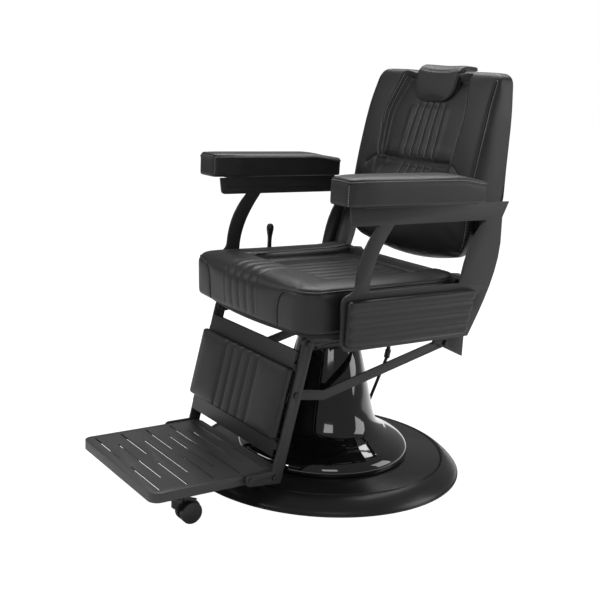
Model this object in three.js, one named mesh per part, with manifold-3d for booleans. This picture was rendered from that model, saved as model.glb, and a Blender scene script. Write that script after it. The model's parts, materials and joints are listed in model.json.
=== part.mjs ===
// A hydraulic barber chair in millimetres, +Z up. The chair faces -Y, the sitter's left is +X,
// and the origin is the centre of the base's underside, on the floor.
import * as THREE from "three";
import { mergeVertices } from "three/addons/utils/BufferGeometryUtils.js";
import Module from "manifold-3d";

const wasm = await Module();
wasm.setup();

// ---------------------------------------------------------------- clearances
const GAP = 0.3; // between two pieces that touch
const RUN = 0.5; // round a pin that turns in its hole
const SLIP = 2; // between flat pieces that slide or swing past each other

// ---------------------------------------------------------------- base and pump
const BASE_RADIUS = 350;
const BASE_PLATE = 10; // ballast disc
const COVER_WALL = 3;
const DECK_HEIGHT = 38; // top of the base cover
const GROOVE_RADIUS = 308;
const BELL_FOOT_RADIUS = 216;
const BELL_TOP = 344;
const BELL_TOP_RADIUS = 74;
const BELL_WALL = 3;
const FLANGE_RADIUS = 68;
const CYLINDER_RADIUS = 38;
const CYLINDER_BORE = 31;
const PISTON_RADIUS = 22;
const STUB_RADIUS = 16; // the piston's top, inside the swivel head
const HEAD_BOTTOM = BELL_TOP + 9; // underside of the swivel head, clear of the bell
const HEAD_RADIUS = 46;
const HEAD_ROOF = 8.7; // metal above the piston's end in the swivel head
const HEAD_PLATE = 190; // square flange under the chassis

// ---------------------------------------------------------------- seat
const PAN_TOP = 403; // top of the steel seat pan
const PAN_THICK = 6;
const PAN_HALF_WIDTH = 240;
const PAN_FRONT = -165;
const PAN_REAR = 120;
const RAIL = 19; // height of the two channels below the pan
const BOARD_THICK = 12;
const SEAT_HALF_WIDTH = 255;
const SEAT_FRONT = -262;
const SEAT_REAR = 204;
const SEAT_THICK = 108;
const SEAT_CORNER = 45;

// ---------------------------------------------------------------- side plates and arm rests
const PLATE_OUTER = 281; // outer face of a side plate
const PLATE_THICK = 6;
const PLATE_BOTTOM = 380;
const PLATE_TOP = 700;
const PLATE_FRONT = -175;
const WINDOW_BOTTOM = 511;
const WINDOW_TOP = 658;
const SIDE_PAD_THICK = 19;
const ARM_HALF_WIDTH = 43.5;
const ARM_FRONT = -207;
const ARM_REAR = 192;
const ARM_HEIGHT = 62;
const ARM_RAIL_THICK = 4;

// ---------------------------------------------------------------- back
const RECLINE = [205, 465]; // y and z of the back's pivot
const CROSS = [220, 500]; // y and z of the tube that joins the back arms
const TIE = [246, 352]; // y and z of the tube that joins the lugs hung from it
const TIE_RADIUS = 12;
const ARM_BAR = 8; // thickness of a back arm
const ARM_BAR_WIDTH = 44;
const BACK_HALF_WIDTH = 234;
const BACK_TOP = 996;
const BACK_BOTTOM = 574;
const BOARD_HALF_WIDTH = 214;
const BACK_BOARD = 12;
const BACK_REAR = 344;

// ---------------------------------------------------------------- headrest
const LEAN = THREE.MathUtils.degToRad(16); // lean of the posts
const POCKET = [296, 915]; // y and z of the foot of the pocket that the headrest lies in
const POST_RADIUS = 5;
const POST_SPREAD = 38;
const POST_DEPTH = -12; // behind the pocket's face
const POST_LENGTH = 150;
const HEADREST_HALF_WIDTH = 77;
const HEADREST_THICK = 20;
const HEADREST_TOP = 1013;

// ---------------------------------------------------------------- leg rest
const LEG_PIVOT = [-201, 385]; // y and z
const LEG_LEAN = THREE.MathUtils.degToRad(12.7);
const BAR_OUTER = 200; // outer face of a side bar
const BAR_THICK = 6;
const BAR_WIDTH = 28.8;
const FOOT_BOTTOM = 62;
const FOOT_TOP = 95;
const NOSE = [-339, 82]; // centre of the rounded end of a side bar's foot
const NOSE_RADIUS = 13;
const PANEL_HALF_WIDTH = 190;
const PANEL_SHEET = 3;
const PANEL_FACE = 20.5; // panel's front face, ahead of the bars' middle line
const PANEL_FROM = 23; // down the bars from their pivot
const PANEL_TO = 270;
const PANEL_LIP = 12;
const CALF_HALF_WIDTH = 195;
const CALF_FROM = 61;
const CALF_TO = 231;
const CALF_THICK = 17;

// ---------------------------------------------------------------- links
const LINK_FRONT = [-228, 266];
const LINK_BEND = [-146, 254];
const LINK_REAR = [212, 341];
const LINK_THICK = 5;
const LINK_WIDTH = 24;
const LUG_THICK = 6;

// ---------------------------------------------------------------- footplate and castors
const PLATE_HINGE = [-276, 78];
const STEP_HALF_WIDTH = 189;
const STEP_FRONT = -575;
const STEP_REAR = -258;
const STEP_TOP = 93;
const STEP_HEIGHT = 22;
const STEP_SHEET = 3;
const STEP_CORNER = 22;
const SLOT_WIDTH = 4.5;
const SLOT_ROWS = 9;
const SLOT_PITCH = 33.2;
const SLOT_FIRST = -549;
const WHEEL_RADIUS = 25;
const WHEEL_WIDTH = 13;
const CASTOR_X = 160;
const CASTOR_Y = -500;
const CASTOR_TRAIL = 28;
const HOOD_WIDTH = 8;

// ---------------------------------------------------------------- levers
const HAND_LEVER = [-17, 440]; // y and z of the recline lever's pivot
const HAND_LEVER_X = -265;
const HAND_LEVER_THICK = 6;
const KNOB_CENTRE = 566;
const KNOB_RADIUS = 9;
const PUMP_SHAFT = [-60, BELL_TOP - 28]; // x and z of the shaft, which lies along Y beside the bell's neck
const PUMP_SHAFT_RADIUS = 8;
const PUMP_SHAFT_END = 250;
const PUMP_ROD_RADIUS = 4.5;
const PEDAL_LENGTH = 84;
const PEDAL_HEIGHT = 90;
const BEARING_LENGTH = 34;
const STRUT_X = 130;
const STRUT_Z = 356;
const STRUT_RADIUS = 13;
const STRUT_ROD = 5;

// ---------------------------------------------------------------- materials
const finish = (color, roughness, metalness) =>
  new THREE.MeshStandardMaterial({ color, roughness, metalness });
const satinSteel = finish(0x202022, 0.45, 0.4);
const glossBlack = finish(0x070708, 0.06, 0.3);
const brightSteel = finish(0xb8b9bb, 0.25, 1);
const leather = finish(0x1c1c1d, 0.5, 0);
const plywood = finish(0x9a7a52, 0.8, 0);
const blackPlastic = finish(0x121213, 0.35, 0);
const rubber = finish(0x161616, 0.8, 0);
const bronze = finish(0x8f6a35, 0.4, 1);

// ---------------------------------------------------------------- solids
const chair = new THREE.Group();

/** A manifold-3d solid from a closed three.js geometry. */
function solid(geometry) {
  const bare = geometry.clone();
  bare.deleteAttribute("normal");
  bare.deleteAttribute("uv");
  const merged = mergeVertices(bare, 1e-3);
  return new wasm.Manifold(
    new wasm.Mesh({
      numProp: 3,
      vertProperties: merged.attributes.position.array,
      triVerts: new Uint32Array(merged.index.array),
    }),
  );
}

/** A three.js geometry from a manifold-3d solid. */
function geometryOf(body) {
  const mesh = body.getMesh();
  const geometry = new THREE.BufferGeometry();
  geometry.setAttribute("position", new THREE.BufferAttribute(new Float32Array(mesh.vertProperties), 3));
  geometry.setIndex(new THREE.BufferAttribute(new Uint32Array(mesh.triVerts), 1));
  geometry.computeVertexNormals();
  return geometry;
}

const join = (...geometries) => geometryOf(geometries.map(solid).reduce((a, b) => a.add(b)));
const cut = (geometry, ...tools) =>
  geometryOf(tools.map(solid).reduce((a, b) => a.subtract(b), solid(geometry)));

/** Adds a named node to the chair, or to a group in it. */
function add(name, geometry, material, parent = chair) {
  const mesh = new THREE.Mesh(geometry, material.clone());
  mesh.name = name;
  parent.add(mesh);
  return mesh;
}

/** A box between two corners. */
function box(x0, x1, y0, y1, z0, z1) {
  const geometry = new THREE.BoxGeometry(Math.abs(x1 - x0), y1 - y0, z1 - z0);
  return geometry.translate((x0 + x1) / 2, (y0 + y1) / 2, (z0 + z1) / 2);
}

/** A solid of revolution about Z from a closed profile of [radius, z] points, in any order of turning. */
function turned(profile, segments = 48) {
  const area = profile.reduce((sum, [r, z], i) => {
    const [r1, z1] = profile[(i + 1) % profile.length];
    return sum + r * z1 - r1 * z;
  }, 0);
  const ring = area > 0 ? profile : [...profile].reverse();
  const points = [...ring, ring[0]].map(([r, z]) => new THREE.Vector2(r, z));
  return new THREE.LatheGeometry(points, segments).rotateX(Math.PI / 2);
}

/** A round bar from one point to another. */
function bar(from, to, radius, segments = 20, radiusTo = radius) {
  const a = new THREE.Vector3(...from);
  const b = new THREE.Vector3(...to);
  const geometry = new THREE.CylinderGeometry(radiusTo, radius, a.distanceTo(b), segments);
  const turn = new THREE.Quaternion().setFromUnitVectors(
    new THREE.Vector3(0, 1, 0),
    b.clone().sub(a).normalize(),
  );
  geometry.applyQuaternion(turn);
  return geometry.translate(...a.add(b).multiplyScalar(0.5).toArray());
}

/** A round bar along X at [y, z]. */
const pin = (x0, x1, [y, z], radius, segments = 20) => bar([x0, y, z], [x1, y, z], radius, segments);

/** A plate between two X values with its outline drawn as y and z. */
function plate(shape, x0, x1, bevel = 0, curveSegments = 8) {
  const [low, high] = [Math.min(x0, x1), Math.max(x0, x1)];
  const geometry = new THREE.ExtrudeGeometry(shape, {
    depth: high - low - 2 * bevel,
    bevelEnabled: bevel > 0,
    bevelSize: bevel,
    bevelThickness: bevel,
    bevelOffset: -bevel,
    bevelSegments: 2,
    curveSegments,
  });
  const axes = new THREE.Matrix4().makeBasis(
    new THREE.Vector3(0, 1, 0),
    new THREE.Vector3(0, 0, 1),
    new THREE.Vector3(1, 0, 0),
  );
  return geometry.applyMatrix4(axes).translate(low + bevel, 0, 0);
}

/** A slab between two heights with its outline drawn as x and y. */
function slab(shape, z0, z1, bevel = 0, curveSegments = 8) {
  const geometry = new THREE.ExtrudeGeometry(shape, {
    depth: z1 - z0 - 2 * bevel,
    bevelEnabled: bevel > 0,
    bevelSize: bevel,
    bevelThickness: bevel,
    bevelOffset: -bevel,
    bevelSegments: 2,
    curveSegments,
  });
  return geometry.translate(0, 0, z0 + bevel);
}

const outline = (points) => new THREE.Shape(points.map(([a, b]) => new THREE.Vector2(a, b)));

/** A rectangle with round corners. */
function roundedRectangle(a0, a1, b0, b1, radius) {
  const shape = new THREE.Shape();
  shape.moveTo(a0 + radius, b0);
  shape.lineTo(a1 - radius, b0);
  shape.absarc(a1 - radius, b0 + radius, radius, -Math.PI / 2, 0);
  shape.lineTo(a1, b1 - radius);
  shape.absarc(a1 - radius, b1 - radius, radius, 0, Math.PI / 2);
  shape.lineTo(a0 + radius, b1);
  shape.absarc(a0 + radius, b1 - radius, radius, Math.PI / 2, Math.PI);
  shape.lineTo(a0, b0 + radius);
  shape.absarc(a0 + radius, b0 + radius, radius, Math.PI, 1.5 * Math.PI);
  return shape;
}

/** A flat bar of constant width with round ends along a line of [y, z] points. */
function strip(points, width) {
  const half = width / 2;
  const path = points.map(([y, z]) => new THREE.Vector2(y, z));
  const side = (a, b) => b.clone().sub(a).normalize().rotateAround(new THREE.Vector2(), -Math.PI / 2);
  const sides = path.map((p, i) => {
    const before = i > 0 ? side(path[i - 1], p) : side(p, path[i + 1]);
    const after = i < path.length - 1 ? side(p, path[i + 1]) : before;
    const mean = before.clone().add(after).normalize();
    return mean.multiplyScalar(half / mean.dot(before));
  });
  const shape = new THREE.Shape();
  const right = path.map((p, i) => p.clone().add(sides[i]));
  const left = path.map((p, i) => p.clone().sub(sides[i]));
  shape.moveTo(right[0].x, right[0].y);
  right.slice(1).forEach((p) => shape.lineTo(p.x, p.y));
  const last = path.length - 1;
  const endAngle = sides[last].angle();
  shape.absarc(path[last].x, path[last].y, half, endAngle, endAngle + Math.PI);
  left.slice(0, -1).reverse().forEach((p) => shape.lineTo(p.x, p.y));
  const startAngle = sides[0].angle() + Math.PI;
  shape.absarc(path[0].x, path[0].y, half, startAngle, startAngle + Math.PI);
  return shape;
}

const SIDES = [
  ["left", 1],
  ["right", -1],
];

// ---------------------------------------------------------------- base
function makeBase() {
  const edge = BASE_RADIUS;
  const groove = GROOVE_RADIUS;
  const deck = DECK_HEIGHT;
  const wall = COVER_WALL;
  const hole = FLANGE_RADIUS + 6;
  add("base_plate", turned([[0, 0], [edge - 7, 0], [edge - 7, BASE_PLATE], [0, BASE_PLATE]], 48), satinSteel);
  const upper = [
    [hole, deck],
    [groove - 5, deck],
    [groove, deck - 3],
    [groove + 5, deck],
    [edge - 24, deck - 2],
    [edge - 10, deck - 9],
    [edge - 2, deck - 21],
    [edge, deck - 30],
    [edge, 1],
  ];
  const lower = [
    [edge - wall, 1],
    [edge - wall, deck - 30],
    [edge - wall - 2, deck - 21],
    [edge - wall - 9, deck - 11.5],
    [edge - 25, deck - wall - 2],
    [groove + 6, deck - wall],
    [groove, deck - wall - 3],
    [groove - 6, deck - wall],
    [hole, deck - wall],
  ];
  add("base_cover", turned([...upper, ...lower], 48), satinSteel);
}

function makeBell() {
  const foot = BELL_FOOT_RADIUS;
  const neck = BELL_TOP_RADIUS;
  const low = DECK_HEIGHT + GAP;
  const outer = [
    [foot, low],
    [foot + 3, low + 12],
    [foot - 2, low + 26],
    [foot - 16, low + 38],
    [foot - 38, low + 50],
    [foot - 60, low + 60],
    [foot - 76, low + 71],
    [foot - 86, low + 86],
    [foot - 96, low + 116],
    [foot - 106, low + 160],
    [neck + 22, low + 215],
    [neck + 8, BELL_TOP - 40],
    [neck, BELL_TOP - 6],
    [neck - 5, BELL_TOP],
  ];
  const mouth = CYLINDER_RADIUS + 8;
  const inner = outer.filter((_, i) => i % 2 === 0 || i > 11).map(([r, z]) => [r - BELL_WALL, z]);
  inner[inner.length - 1] = [neck - 5 - BELL_WALL, BELL_TOP - BELL_WALL];
  const profile = [...outer, [mouth, BELL_TOP], [mouth, BELL_TOP - BELL_WALL], ...inner.reverse()];
  add("pedestal_bell", turned(profile, 44), glossBlack);
}

function makePump() {
  const floor = BASE_PLATE + GAP;
  const top = BELL_TOP - 12;
  const cylinder = [
    [0, floor],
    [FLANGE_RADIUS, floor],
    [FLANGE_RADIUS, floor + 10],
    [CYLINDER_RADIUS, floor + 10],
    [CYLINDER_RADIUS, top],
    [CYLINDER_BORE, top],
    [CYLINDER_BORE, floor + 14],
    [0, floor + 14],
  ];
  add("pump_cylinder", turned(cylinder, 32), satinSteel);
  const bushOuter = CYLINDER_BORE - GAP;
  const bushInner = PISTON_RADIUS + RUN;
  const bush = [
    [bushInner, top - 36],
    [bushOuter, top - 36],
    [bushOuter, top + GAP],
    [CYLINDER_RADIUS, top + GAP],
    [CYLINDER_RADIUS, top + 6],
    [bushInner, top + 6],
  ];
  add("piston_bush", turned(bush, 32), bronze);
  const head = HEAD_BOTTOM;
  const piston = [
    [0, floor + 15],
    [CYLINDER_BORE - RUN, floor + 15],
    [CYLINDER_BORE - RUN, floor + 35],
    [PISTON_RADIUS, floor + 35],
    [PISTON_RADIUS, head - 4],
    [STUB_RADIUS, head - 4],
    [STUB_RADIUS, headSocket - 1],
    [0, headSocket - 1],
  ];
  add("piston_rod", turned(piston, 32), brightSteel);
  const washer = [
    [STUB_RADIUS + RUN, head - 4 + GAP],
    [PISTON_RADIUS + 8, head - 4 + GAP],
    [PISTON_RADIUS + 8, head - GAP],
    [STUB_RADIUS + RUN, head - GAP],
  ];
  add("swivel_washer", turned(washer, 32), bronze);
}

// ---------------------------------------------------------------- seat frame
const pumpBearing = [HEAD_PLATE / 2 - 17, HEAD_PLATE / 2 - 17 + BEARING_LENGTH]; // y of the bearing's ends
const panBottom = PAN_TOP - PAN_THICK;
const railBottom = panBottom - RAIL;
const headSocket = railBottom - GAP - HEAD_ROOF; // roof of the bore in the swivel head

/** The swivel head that turns on the piston's stub and carries the chassis and the pump lever. */
function makeSwivelHead() {
  const plateTop = railBottom - GAP;
  const hub = turned([
    [STUB_RADIUS + RUN, HEAD_BOTTOM],
    [HEAD_RADIUS, HEAD_BOTTOM],
    [HEAD_RADIUS, plateTop - 5],
    [0, plateTop - 5],
    [0, headSocket],
    [STUB_RADIUS + RUN, headSocket],
  ], 32);
  const half = HEAD_PLATE / 2;
  const flange = box(-half, half, -half, half, plateTop - 6, plateTop);
  const [x, z] = PUMP_SHAFT;
  const [y0, y1] = pumpBearing;
  const wall = PUMP_SHAFT_RADIUS + 7;
  const block = box(x - wall, x + wall, y0, y1, z - wall, plateTop - 5);
  const apron = box(x - wall, x + wall, half - 10, y1, plateTop - 6, plateTop);
  const bore = bar([x, y0 - 5, z], [x, y1 + 5, z], PUMP_SHAFT_RADIUS + RUN, 16);
  add("swivel_head", cut(join(hub, flange, apron, block), bore), satinSteel);
}

/** The folded pan under the seat, with its channels, the leg rest's lugs and the outriggers. */
function makeChassis() {
  const pan = box(-PAN_HALF_WIDTH, PAN_HALF_WIDTH, PAN_FRONT, PAN_REAR, panBottom, PAN_TOP);
  const pieces = [pan];
  const lugInner = BAR_OUTER - BAR_THICK - GAP * 2;
  const [pivotY, pivotZ] = LEG_PIVOT;
  const lug = new THREE.Shape();
  lug.moveTo(PAN_FRONT + 60, railBottom + 2);
  lug.lineTo(PAN_FRONT + 60, PAN_TOP - 1);
  lug.lineTo(pivotY + 4, PAN_TOP - 1);
  lug.absarc(pivotY, pivotZ, 13, Math.PI / 2, 1.5 * Math.PI);
  SIDES.forEach(([, side]) => {
    pieces.push(box(side * 62, side * 88, PAN_FRONT + 4, PAN_REAR - 4, railBottom, panBottom + 1));
    pieces.push(plate(lug, side * (lugInner - 6), side * lugInner));
    [[-120, -90], [60, 90]].forEach(([y0, y1]) => {
      const reach = PLATE_OUTER - PLATE_THICK - GAP;
      pieces.push(box(side * (PAN_HALF_WIDTH - 10), side * reach, y0, y1, PLATE_BOTTOM + 4, PAN_TOP - 1));
    });
  });
  const strutHanger = box(STRUT_X - 8, STRUT_X + 8, -150, -138, STRUT_Z - 8, panBottom + 1);
  pieces.push(strutHanger);
  const [leverY, leverZ] = HAND_LEVER;
  const tab = outline([
    [leverY - 18, PLATE_BOTTOM + 6],
    [leverY + 18, PLATE_BOTTOM + 6],
    [leverY + 9, leverZ + 9],
    [leverY - 9, leverZ + 9],
  ]);
  const tabInner = HAND_LEVER_X + HAND_LEVER_THICK / 2 + 0.7;
  pieces.push(plate(tab, tabInner, tabInner + 3));
  pieces.push(box(-PAN_HALF_WIDTH + 1, tabInner + 3, leverY - 18, leverY + 18, panBottom, PAN_TOP - 1));
  const holes = SIDES.map(([, side]) =>
    pin(side * (lugInner - 12), side * (lugInner + 12), LEG_PIVOT, 4 + RUN, 16),
  );
  holes.push(pin(tabInner - 6, tabInner + 8, HAND_LEVER, 3 + GAP, 12));
  add("seat_chassis", cut(join(...pieces), ...holes), satinSteel);
}

/** The seat's outline: straight sides, round front corners and a front edge that bows forwards. */
function seatOutline(inset) {
  const half = SEAT_HALF_WIDTH - inset;
  const corner = SEAT_FRONT + 26 + inset;
  const shape = new THREE.Shape();
  shape.moveTo(-half + 8, SEAT_REAR - inset);
  shape.lineTo(-half, SEAT_REAR - inset - 8);
  shape.lineTo(-half, corner + SEAT_CORNER);
  shape.quadraticCurveTo(-half, corner, -half + SEAT_CORNER, corner - 4);
  shape.quadraticCurveTo(0, SEAT_FRONT - 22 + inset, half - SEAT_CORNER, corner - 4);
  shape.quadraticCurveTo(half, corner, half, corner + SEAT_CORNER);
  shape.lineTo(half, SEAT_REAR - inset - 8);
  shape.lineTo(half - 8, SEAT_REAR - inset);
  return shape;
}

function makeSeat() {
  const boardTop = PAN_TOP + GAP + BOARD_THICK;
  add("seat_board", slab(seatOutline(14), PAN_TOP + GAP, boardTop), plywood);
  add("seat_cushion", slab(seatOutline(0), boardTop + GAP, boardTop + GAP + SEAT_THICK, 12), leather);
}

// ---------------------------------------------------------------- side frames
function sidePlateOutline() {
  const shape = new THREE.Shape();
  const front = PLATE_FRONT;
  shape.moveTo(front + 26, PLATE_BOTTOM);
  shape.lineTo(205, PLATE_BOTTOM);
  shape.bezierCurveTo(236, PLATE_BOTTOM + 58, 285, PLATE_BOTTOM + 140, 287, PLATE_BOTTOM + 222);
  shape.lineTo(285, PLATE_TOP - 37);
  shape.lineTo(303, PLATE_TOP);
  shape.lineTo(front + 7, PLATE_TOP);
  shape.lineTo(front + 12, WINDOW_TOP + 8);
  shape.quadraticCurveTo(front + 14, WINDOW_TOP, front + 24, WINDOW_TOP);
  shape.lineTo(front + 88, WINDOW_TOP);
  shape.bezierCurveTo(front + 52, WINDOW_TOP - 38, front + 37, WINDOW_TOP - 80, front + 34, WINDOW_TOP - 128);
  shape.quadraticCurveTo(front + 32, WINDOW_BOTTOM + 2, front + 14, WINDOW_BOTTOM - 3);
  shape.quadraticCurveTo(front - 3, WINDOW_BOTTOM - 8, front - 3, WINDOW_BOTTOM - 26);
  shape.lineTo(front + 2, PLATE_BOTTOM + 24);
  shape.quadraticCurveTo(front + 3, PLATE_BOTTOM, front + 26, PLATE_BOTTOM);
  const opening = new THREE.Path();
  opening.moveTo(front + 71, WINDOW_BOTTOM);
  opening.bezierCurveTo(front + 72, WINDOW_BOTTOM + 48, front + 88, WINDOW_TOP - 56, front + 130, WINDOW_TOP);
  opening.lineTo(233, WINDOW_TOP);
  opening.bezierCurveTo(192, WINDOW_TOP - 34, 176, WINDOW_TOP - 88, 167, WINDOW_BOTTOM);
  opening.closePath();
  shape.holes.push(opening);
  return shape;
}

function makeSideFrames() {
  const inner = PLATE_OUTER - PLATE_THICK;
  SIDES.forEach(([name, side]) => {
    const body = plate(sidePlateOutline(), side * inner, side * PLATE_OUTER, 0, 7);
    const hole = pin(side * (inner - 5), side * (PLATE_OUTER + 5), RECLINE, 8 + GAP, 20);
    add("side_plate_" + name, cut(body, hole), satinSteel);
    const pad = outline([
      [PLATE_FRONT + 8, PLATE_BOTTOM + 14],
      [188, PLATE_BOTTOM + 11],
      [209, WINDOW_BOTTOM - 15],
      [PLATE_FRONT + 8, WINDOW_BOTTOM - 15],
    ]);
    const face = PLATE_OUTER + GAP;
    add("side_pad_" + name, plate(pad, side * face, side * (face + SIDE_PAD_THICK), 4), leather);

    const web = box(side * (inner - GAP - 5), side * (inner - GAP), -150, 178, PLATE_TOP - 24, PLATE_TOP + 1);
    const middle = side * (PLATE_OUTER + 1.5);
    const shelfBottom = PLATE_TOP + GAP;
    const shelf = box(
      side * (inner - 24), side * (PLATE_OUTER + 26), -150, 178, shelfBottom, shelfBottom + ARM_RAIL_THICK,
    );
    add("arm_rail_" + name, join(web, shelf), satinSteel);
    const low = PLATE_TOP + 2 * GAP + ARM_RAIL_THICK;
    const top = low + ARM_HEIGHT;
    const arm = outline([
      [ARM_FRONT, low],
      [ARM_REAR, low],
      [ARM_REAR - 2, top - 15],
      [ARM_REAR - 80, top - 2],
      [ARM_REAR - 130, top],
      [ARM_FRONT + 3, top],
    ]);
    add("arm_pad_" + name, plate(arm, middle - ARM_HALF_WIDTH, middle + ARM_HALF_WIDTH, 7), leather);
    const pinInner = inner - GAP - 5 - ARM_BAR - 3;
    const shaft = pin(side * pinInner, side * PLATE_OUTER, RECLINE, 8, 20);
    const head = pin(side * (pinInner - 2), side * pinInner, RECLINE, 12, 20);
    add("recline_pin_" + name, join(shaft, head), brightSteel);
  });
}

// ---------------------------------------------------------------- back
const linkOuter = BAR_OUTER - BAR_THICK - 2 * GAP; // outer face of a link, just inside a side bar
const armOuter = PLATE_OUTER - PLATE_THICK - GAP - 5;
const armInner = armOuter - ARM_BAR;

function makeBackFrame() {
  const path = [RECLINE, [222, 520], [241, 585], [268, 672]];
  const lugs = [];
  SIDES.forEach(([name, side]) => {
    const body = plate(strip(path, ARM_BAR_WIDTH), side * armInner, side * armOuter, 0, 6);
    const hole = pin(side * (armInner - 5), side * (armOuter + 5), RECLINE, 8 + RUN, 20);
    const seat = pin(side * (armInner - 5), side * (armOuter + 5), CROSS, TIE_RADIUS + GAP, 20);
    const bracket = join(
      box(side * (BACK_HALF_WIDTH + GAP), side * (BACK_HALF_WIDTH + 5), 244, 300, 612, 688),
      box(side * (BACK_HALF_WIDTH + 4), side * (armInner + 1), 250, 278, 618, 682),
    );
    add("back_arm_" + name, cut(join(body, bracket), hole, seat), satinSteel);
    const lug = outline([
      [172, 346],
      [272, 300],
      [272, 440],
      [262, 490],
      [240, 514],
      [216, 516],
      [208, 500],
      [224, 470],
      [238, 440],
      [238, 380],
      [222, 364],
      [176, 353],
    ]);
    const lugOuter = linkOuter + 2 * GAP + LUG_THICK;
    const lugPlate = plate(lug, side * (lugOuter - LUG_THICK), side * lugOuter);
    const bore = pin(side * (lugOuter - 12), side * (lugOuter + 5), LINK_REAR, 4 + GAP, 16);
    lugs.push(cut(lugPlate, bore));
    const bolt = join(
      pin(side * (linkOuter - LINK_THICK - 1), side * (lugOuter + 1), LINK_REAR, 4, 16),
      pin(side * (lugOuter + GAP), side * (lugOuter + 5), LINK_REAR, 7, 6),
      pin(side * (linkOuter - LINK_THICK - 4), side * (linkOuter - LINK_THICK - GAP), LINK_REAR, 7, 16),
    );
    add("link_bolt_" + name, bolt, brightSteel);
  });
  const cross = pin(-armOuter, armOuter, CROSS, TIE_RADIUS, 20);
  const tie = pin(-linkOuter - LUG_THICK, linkOuter + LUG_THICK, TIE, TIE_RADIUS, 20);
  add("back_tie_tube", join(cross, tie, ...lugs), satinSteel);
}

/** y and z of a point in the headrest's frame: up along the posts, and forwards from the pocket's face. */
function leaning(up, forwards) {
  const [y, z] = POCKET;
  return [
    y + up * Math.sin(LEAN) - forwards * Math.cos(LEAN),
    z + up * Math.cos(LEAN) + forwards * Math.sin(LEAN),
  ];
}

function makeBackrest() {
  const profile = new THREE.Shape();
  profile.moveTo(240, BACK_BOTTOM);
  profile.quadraticCurveTo(210, BACK_BOTTOM + 4, 211, BACK_BOTTOM + 40);
  profile.lineTo(223, 735);
  profile.quadraticCurveTo(245, 835, 281, 974);
  profile.quadraticCurveTo(288, BACK_TOP, 304, BACK_TOP);
  profile.lineTo(326, BACK_TOP);
  profile.quadraticCurveTo(BACK_REAR, BACK_TOP - 4, BACK_REAR, 960);
  profile.lineTo(BACK_REAR, 760);
  profile.quadraticCurveTo(BACK_REAR - 6, 660, 290, 600);
  profile.quadraticCurveTo(268, BACK_BOTTOM, 240, BACK_BOTTOM);
  const pad = plate(profile, -BACK_HALF_WIDTH, BACK_HALF_WIDTH, 8, 5);
  const width = HEADREST_HALF_WIDTH + 12;
  const pocket = plate(
    outline([leaning(-12, 0), leaning(100, 0), leaning(100, 80), leaning(-12, 80)]), -width, width,
  );
  const bores = [-1, 1].map((side) => {
    const [y0, z0] = leaning(-POST_LENGTH + 80, POST_DEPTH);
    const [y1, z1] = leaning(100, POST_DEPTH);
    const x = side * POST_SPREAD;
    return bar([x, y0, z0], [x, y1, z1], POST_RADIUS + RUN, 16);
  });
  add("back_cushion", cut(pad, pocket, ...bores), leather);
  const board = slab(
    roundedRectangle(-BOARD_HALF_WIDTH, BOARD_HALF_WIDTH, 0, 290, 30), 0, BACK_BOARD, 3, 4,
  );
  board.rotateX(Math.PI / 2).translate(0, BACK_REAR + GAP + BACK_BOARD, 668);
  add("back_board", board, leather);
}

function makeHeadrest() {
  const top = HEADREST_TOP;
  const under = BACK_TOP + SLIP;
  const thick = HEADREST_THICK + SLIP;
  const shape = outline([
    leaning(3, SLIP),
    leaning(3, thick - 6),
    leaning(9, thick),
    leaning(84, thick),
    [308, top],
    [346, top],
    [360, top - 6],
    [362, under],
    leaning((under - POCKET[1]) / Math.cos(LEAN), SLIP),
  ]);
  const pad = plate(shape, -HEADREST_HALF_WIDTH, HEADREST_HALF_WIDTH, 5, 4);
  const ends = [-1, 1].map((side) => {
    const x = side * POST_SPREAD;
    const low = leaning(80 - POST_LENGTH + 4, POST_DEPTH);
    const high = leaning(94, POST_DEPTH);
    return { x, low, high };
  });
  const holes = ends.map(({ x, high }) => {
    const down = leaning(60, POST_DEPTH);
    return bar([x, ...down], [x, ...high], POST_RADIUS + GAP, 16);
  });
  add("headrest_cushion", cut(pad, ...holes), leather);
  ends.forEach(({ x, low }, i) => {
    const name = SIDES[1 - i][0];
    const tip = leaning(93, POST_DEPTH);
    add("headrest_post_" + name, bar([x, ...low], [x, ...tip], POST_RADIUS, 16), brightSteel);
  });
}

// ---------------------------------------------------------------- leg rest
/** y and z of a point given by its distance down the side bars and ahead of their middle line. */
function onLeg(down, ahead) {
  const [y, z] = LEG_PIVOT;
  return [
    y - down * Math.sin(LEG_LEAN) - ahead * Math.cos(LEG_LEAN),
    z - down * Math.cos(LEG_LEAN) + ahead * Math.sin(LEG_LEAN),
  ];
}

/** Where the line down a side bar at a distance ahead of its middle meets a height. */
function onLegAt(z, ahead) {
  const down = (LEG_PIVOT[1] + ahead * Math.sin(LEG_LEAN) - z) / Math.cos(LEG_LEAN);
  return onLeg(down, ahead);
}

function sideBarOutline() {
  const half = BAR_WIDTH / 2;
  const shape = new THREE.Shape();
  const rear = onLegAt(FOOT_BOTTOM, -half);
  const front = onLegAt(FOOT_TOP, half);
  shape.moveTo(NOSE[0], NOSE[1] - NOSE_RADIUS);
  shape.lineTo(rear[0] - 6, rear[1]);
  shape.lineTo(...rear);
  shape.lineTo(...onLeg(0, -half));
  shape.absarc(LEG_PIVOT[0], LEG_PIVOT[1], half, -LEG_LEAN, Math.PI - LEG_LEAN);
  shape.lineTo(...front);
  shape.lineTo(NOSE[0], NOSE[1] + NOSE_RADIUS);
  shape.absarc(NOSE[0], NOSE[1], NOSE_RADIUS, Math.PI / 2, 1.5 * Math.PI);
  return shape;
}

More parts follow.
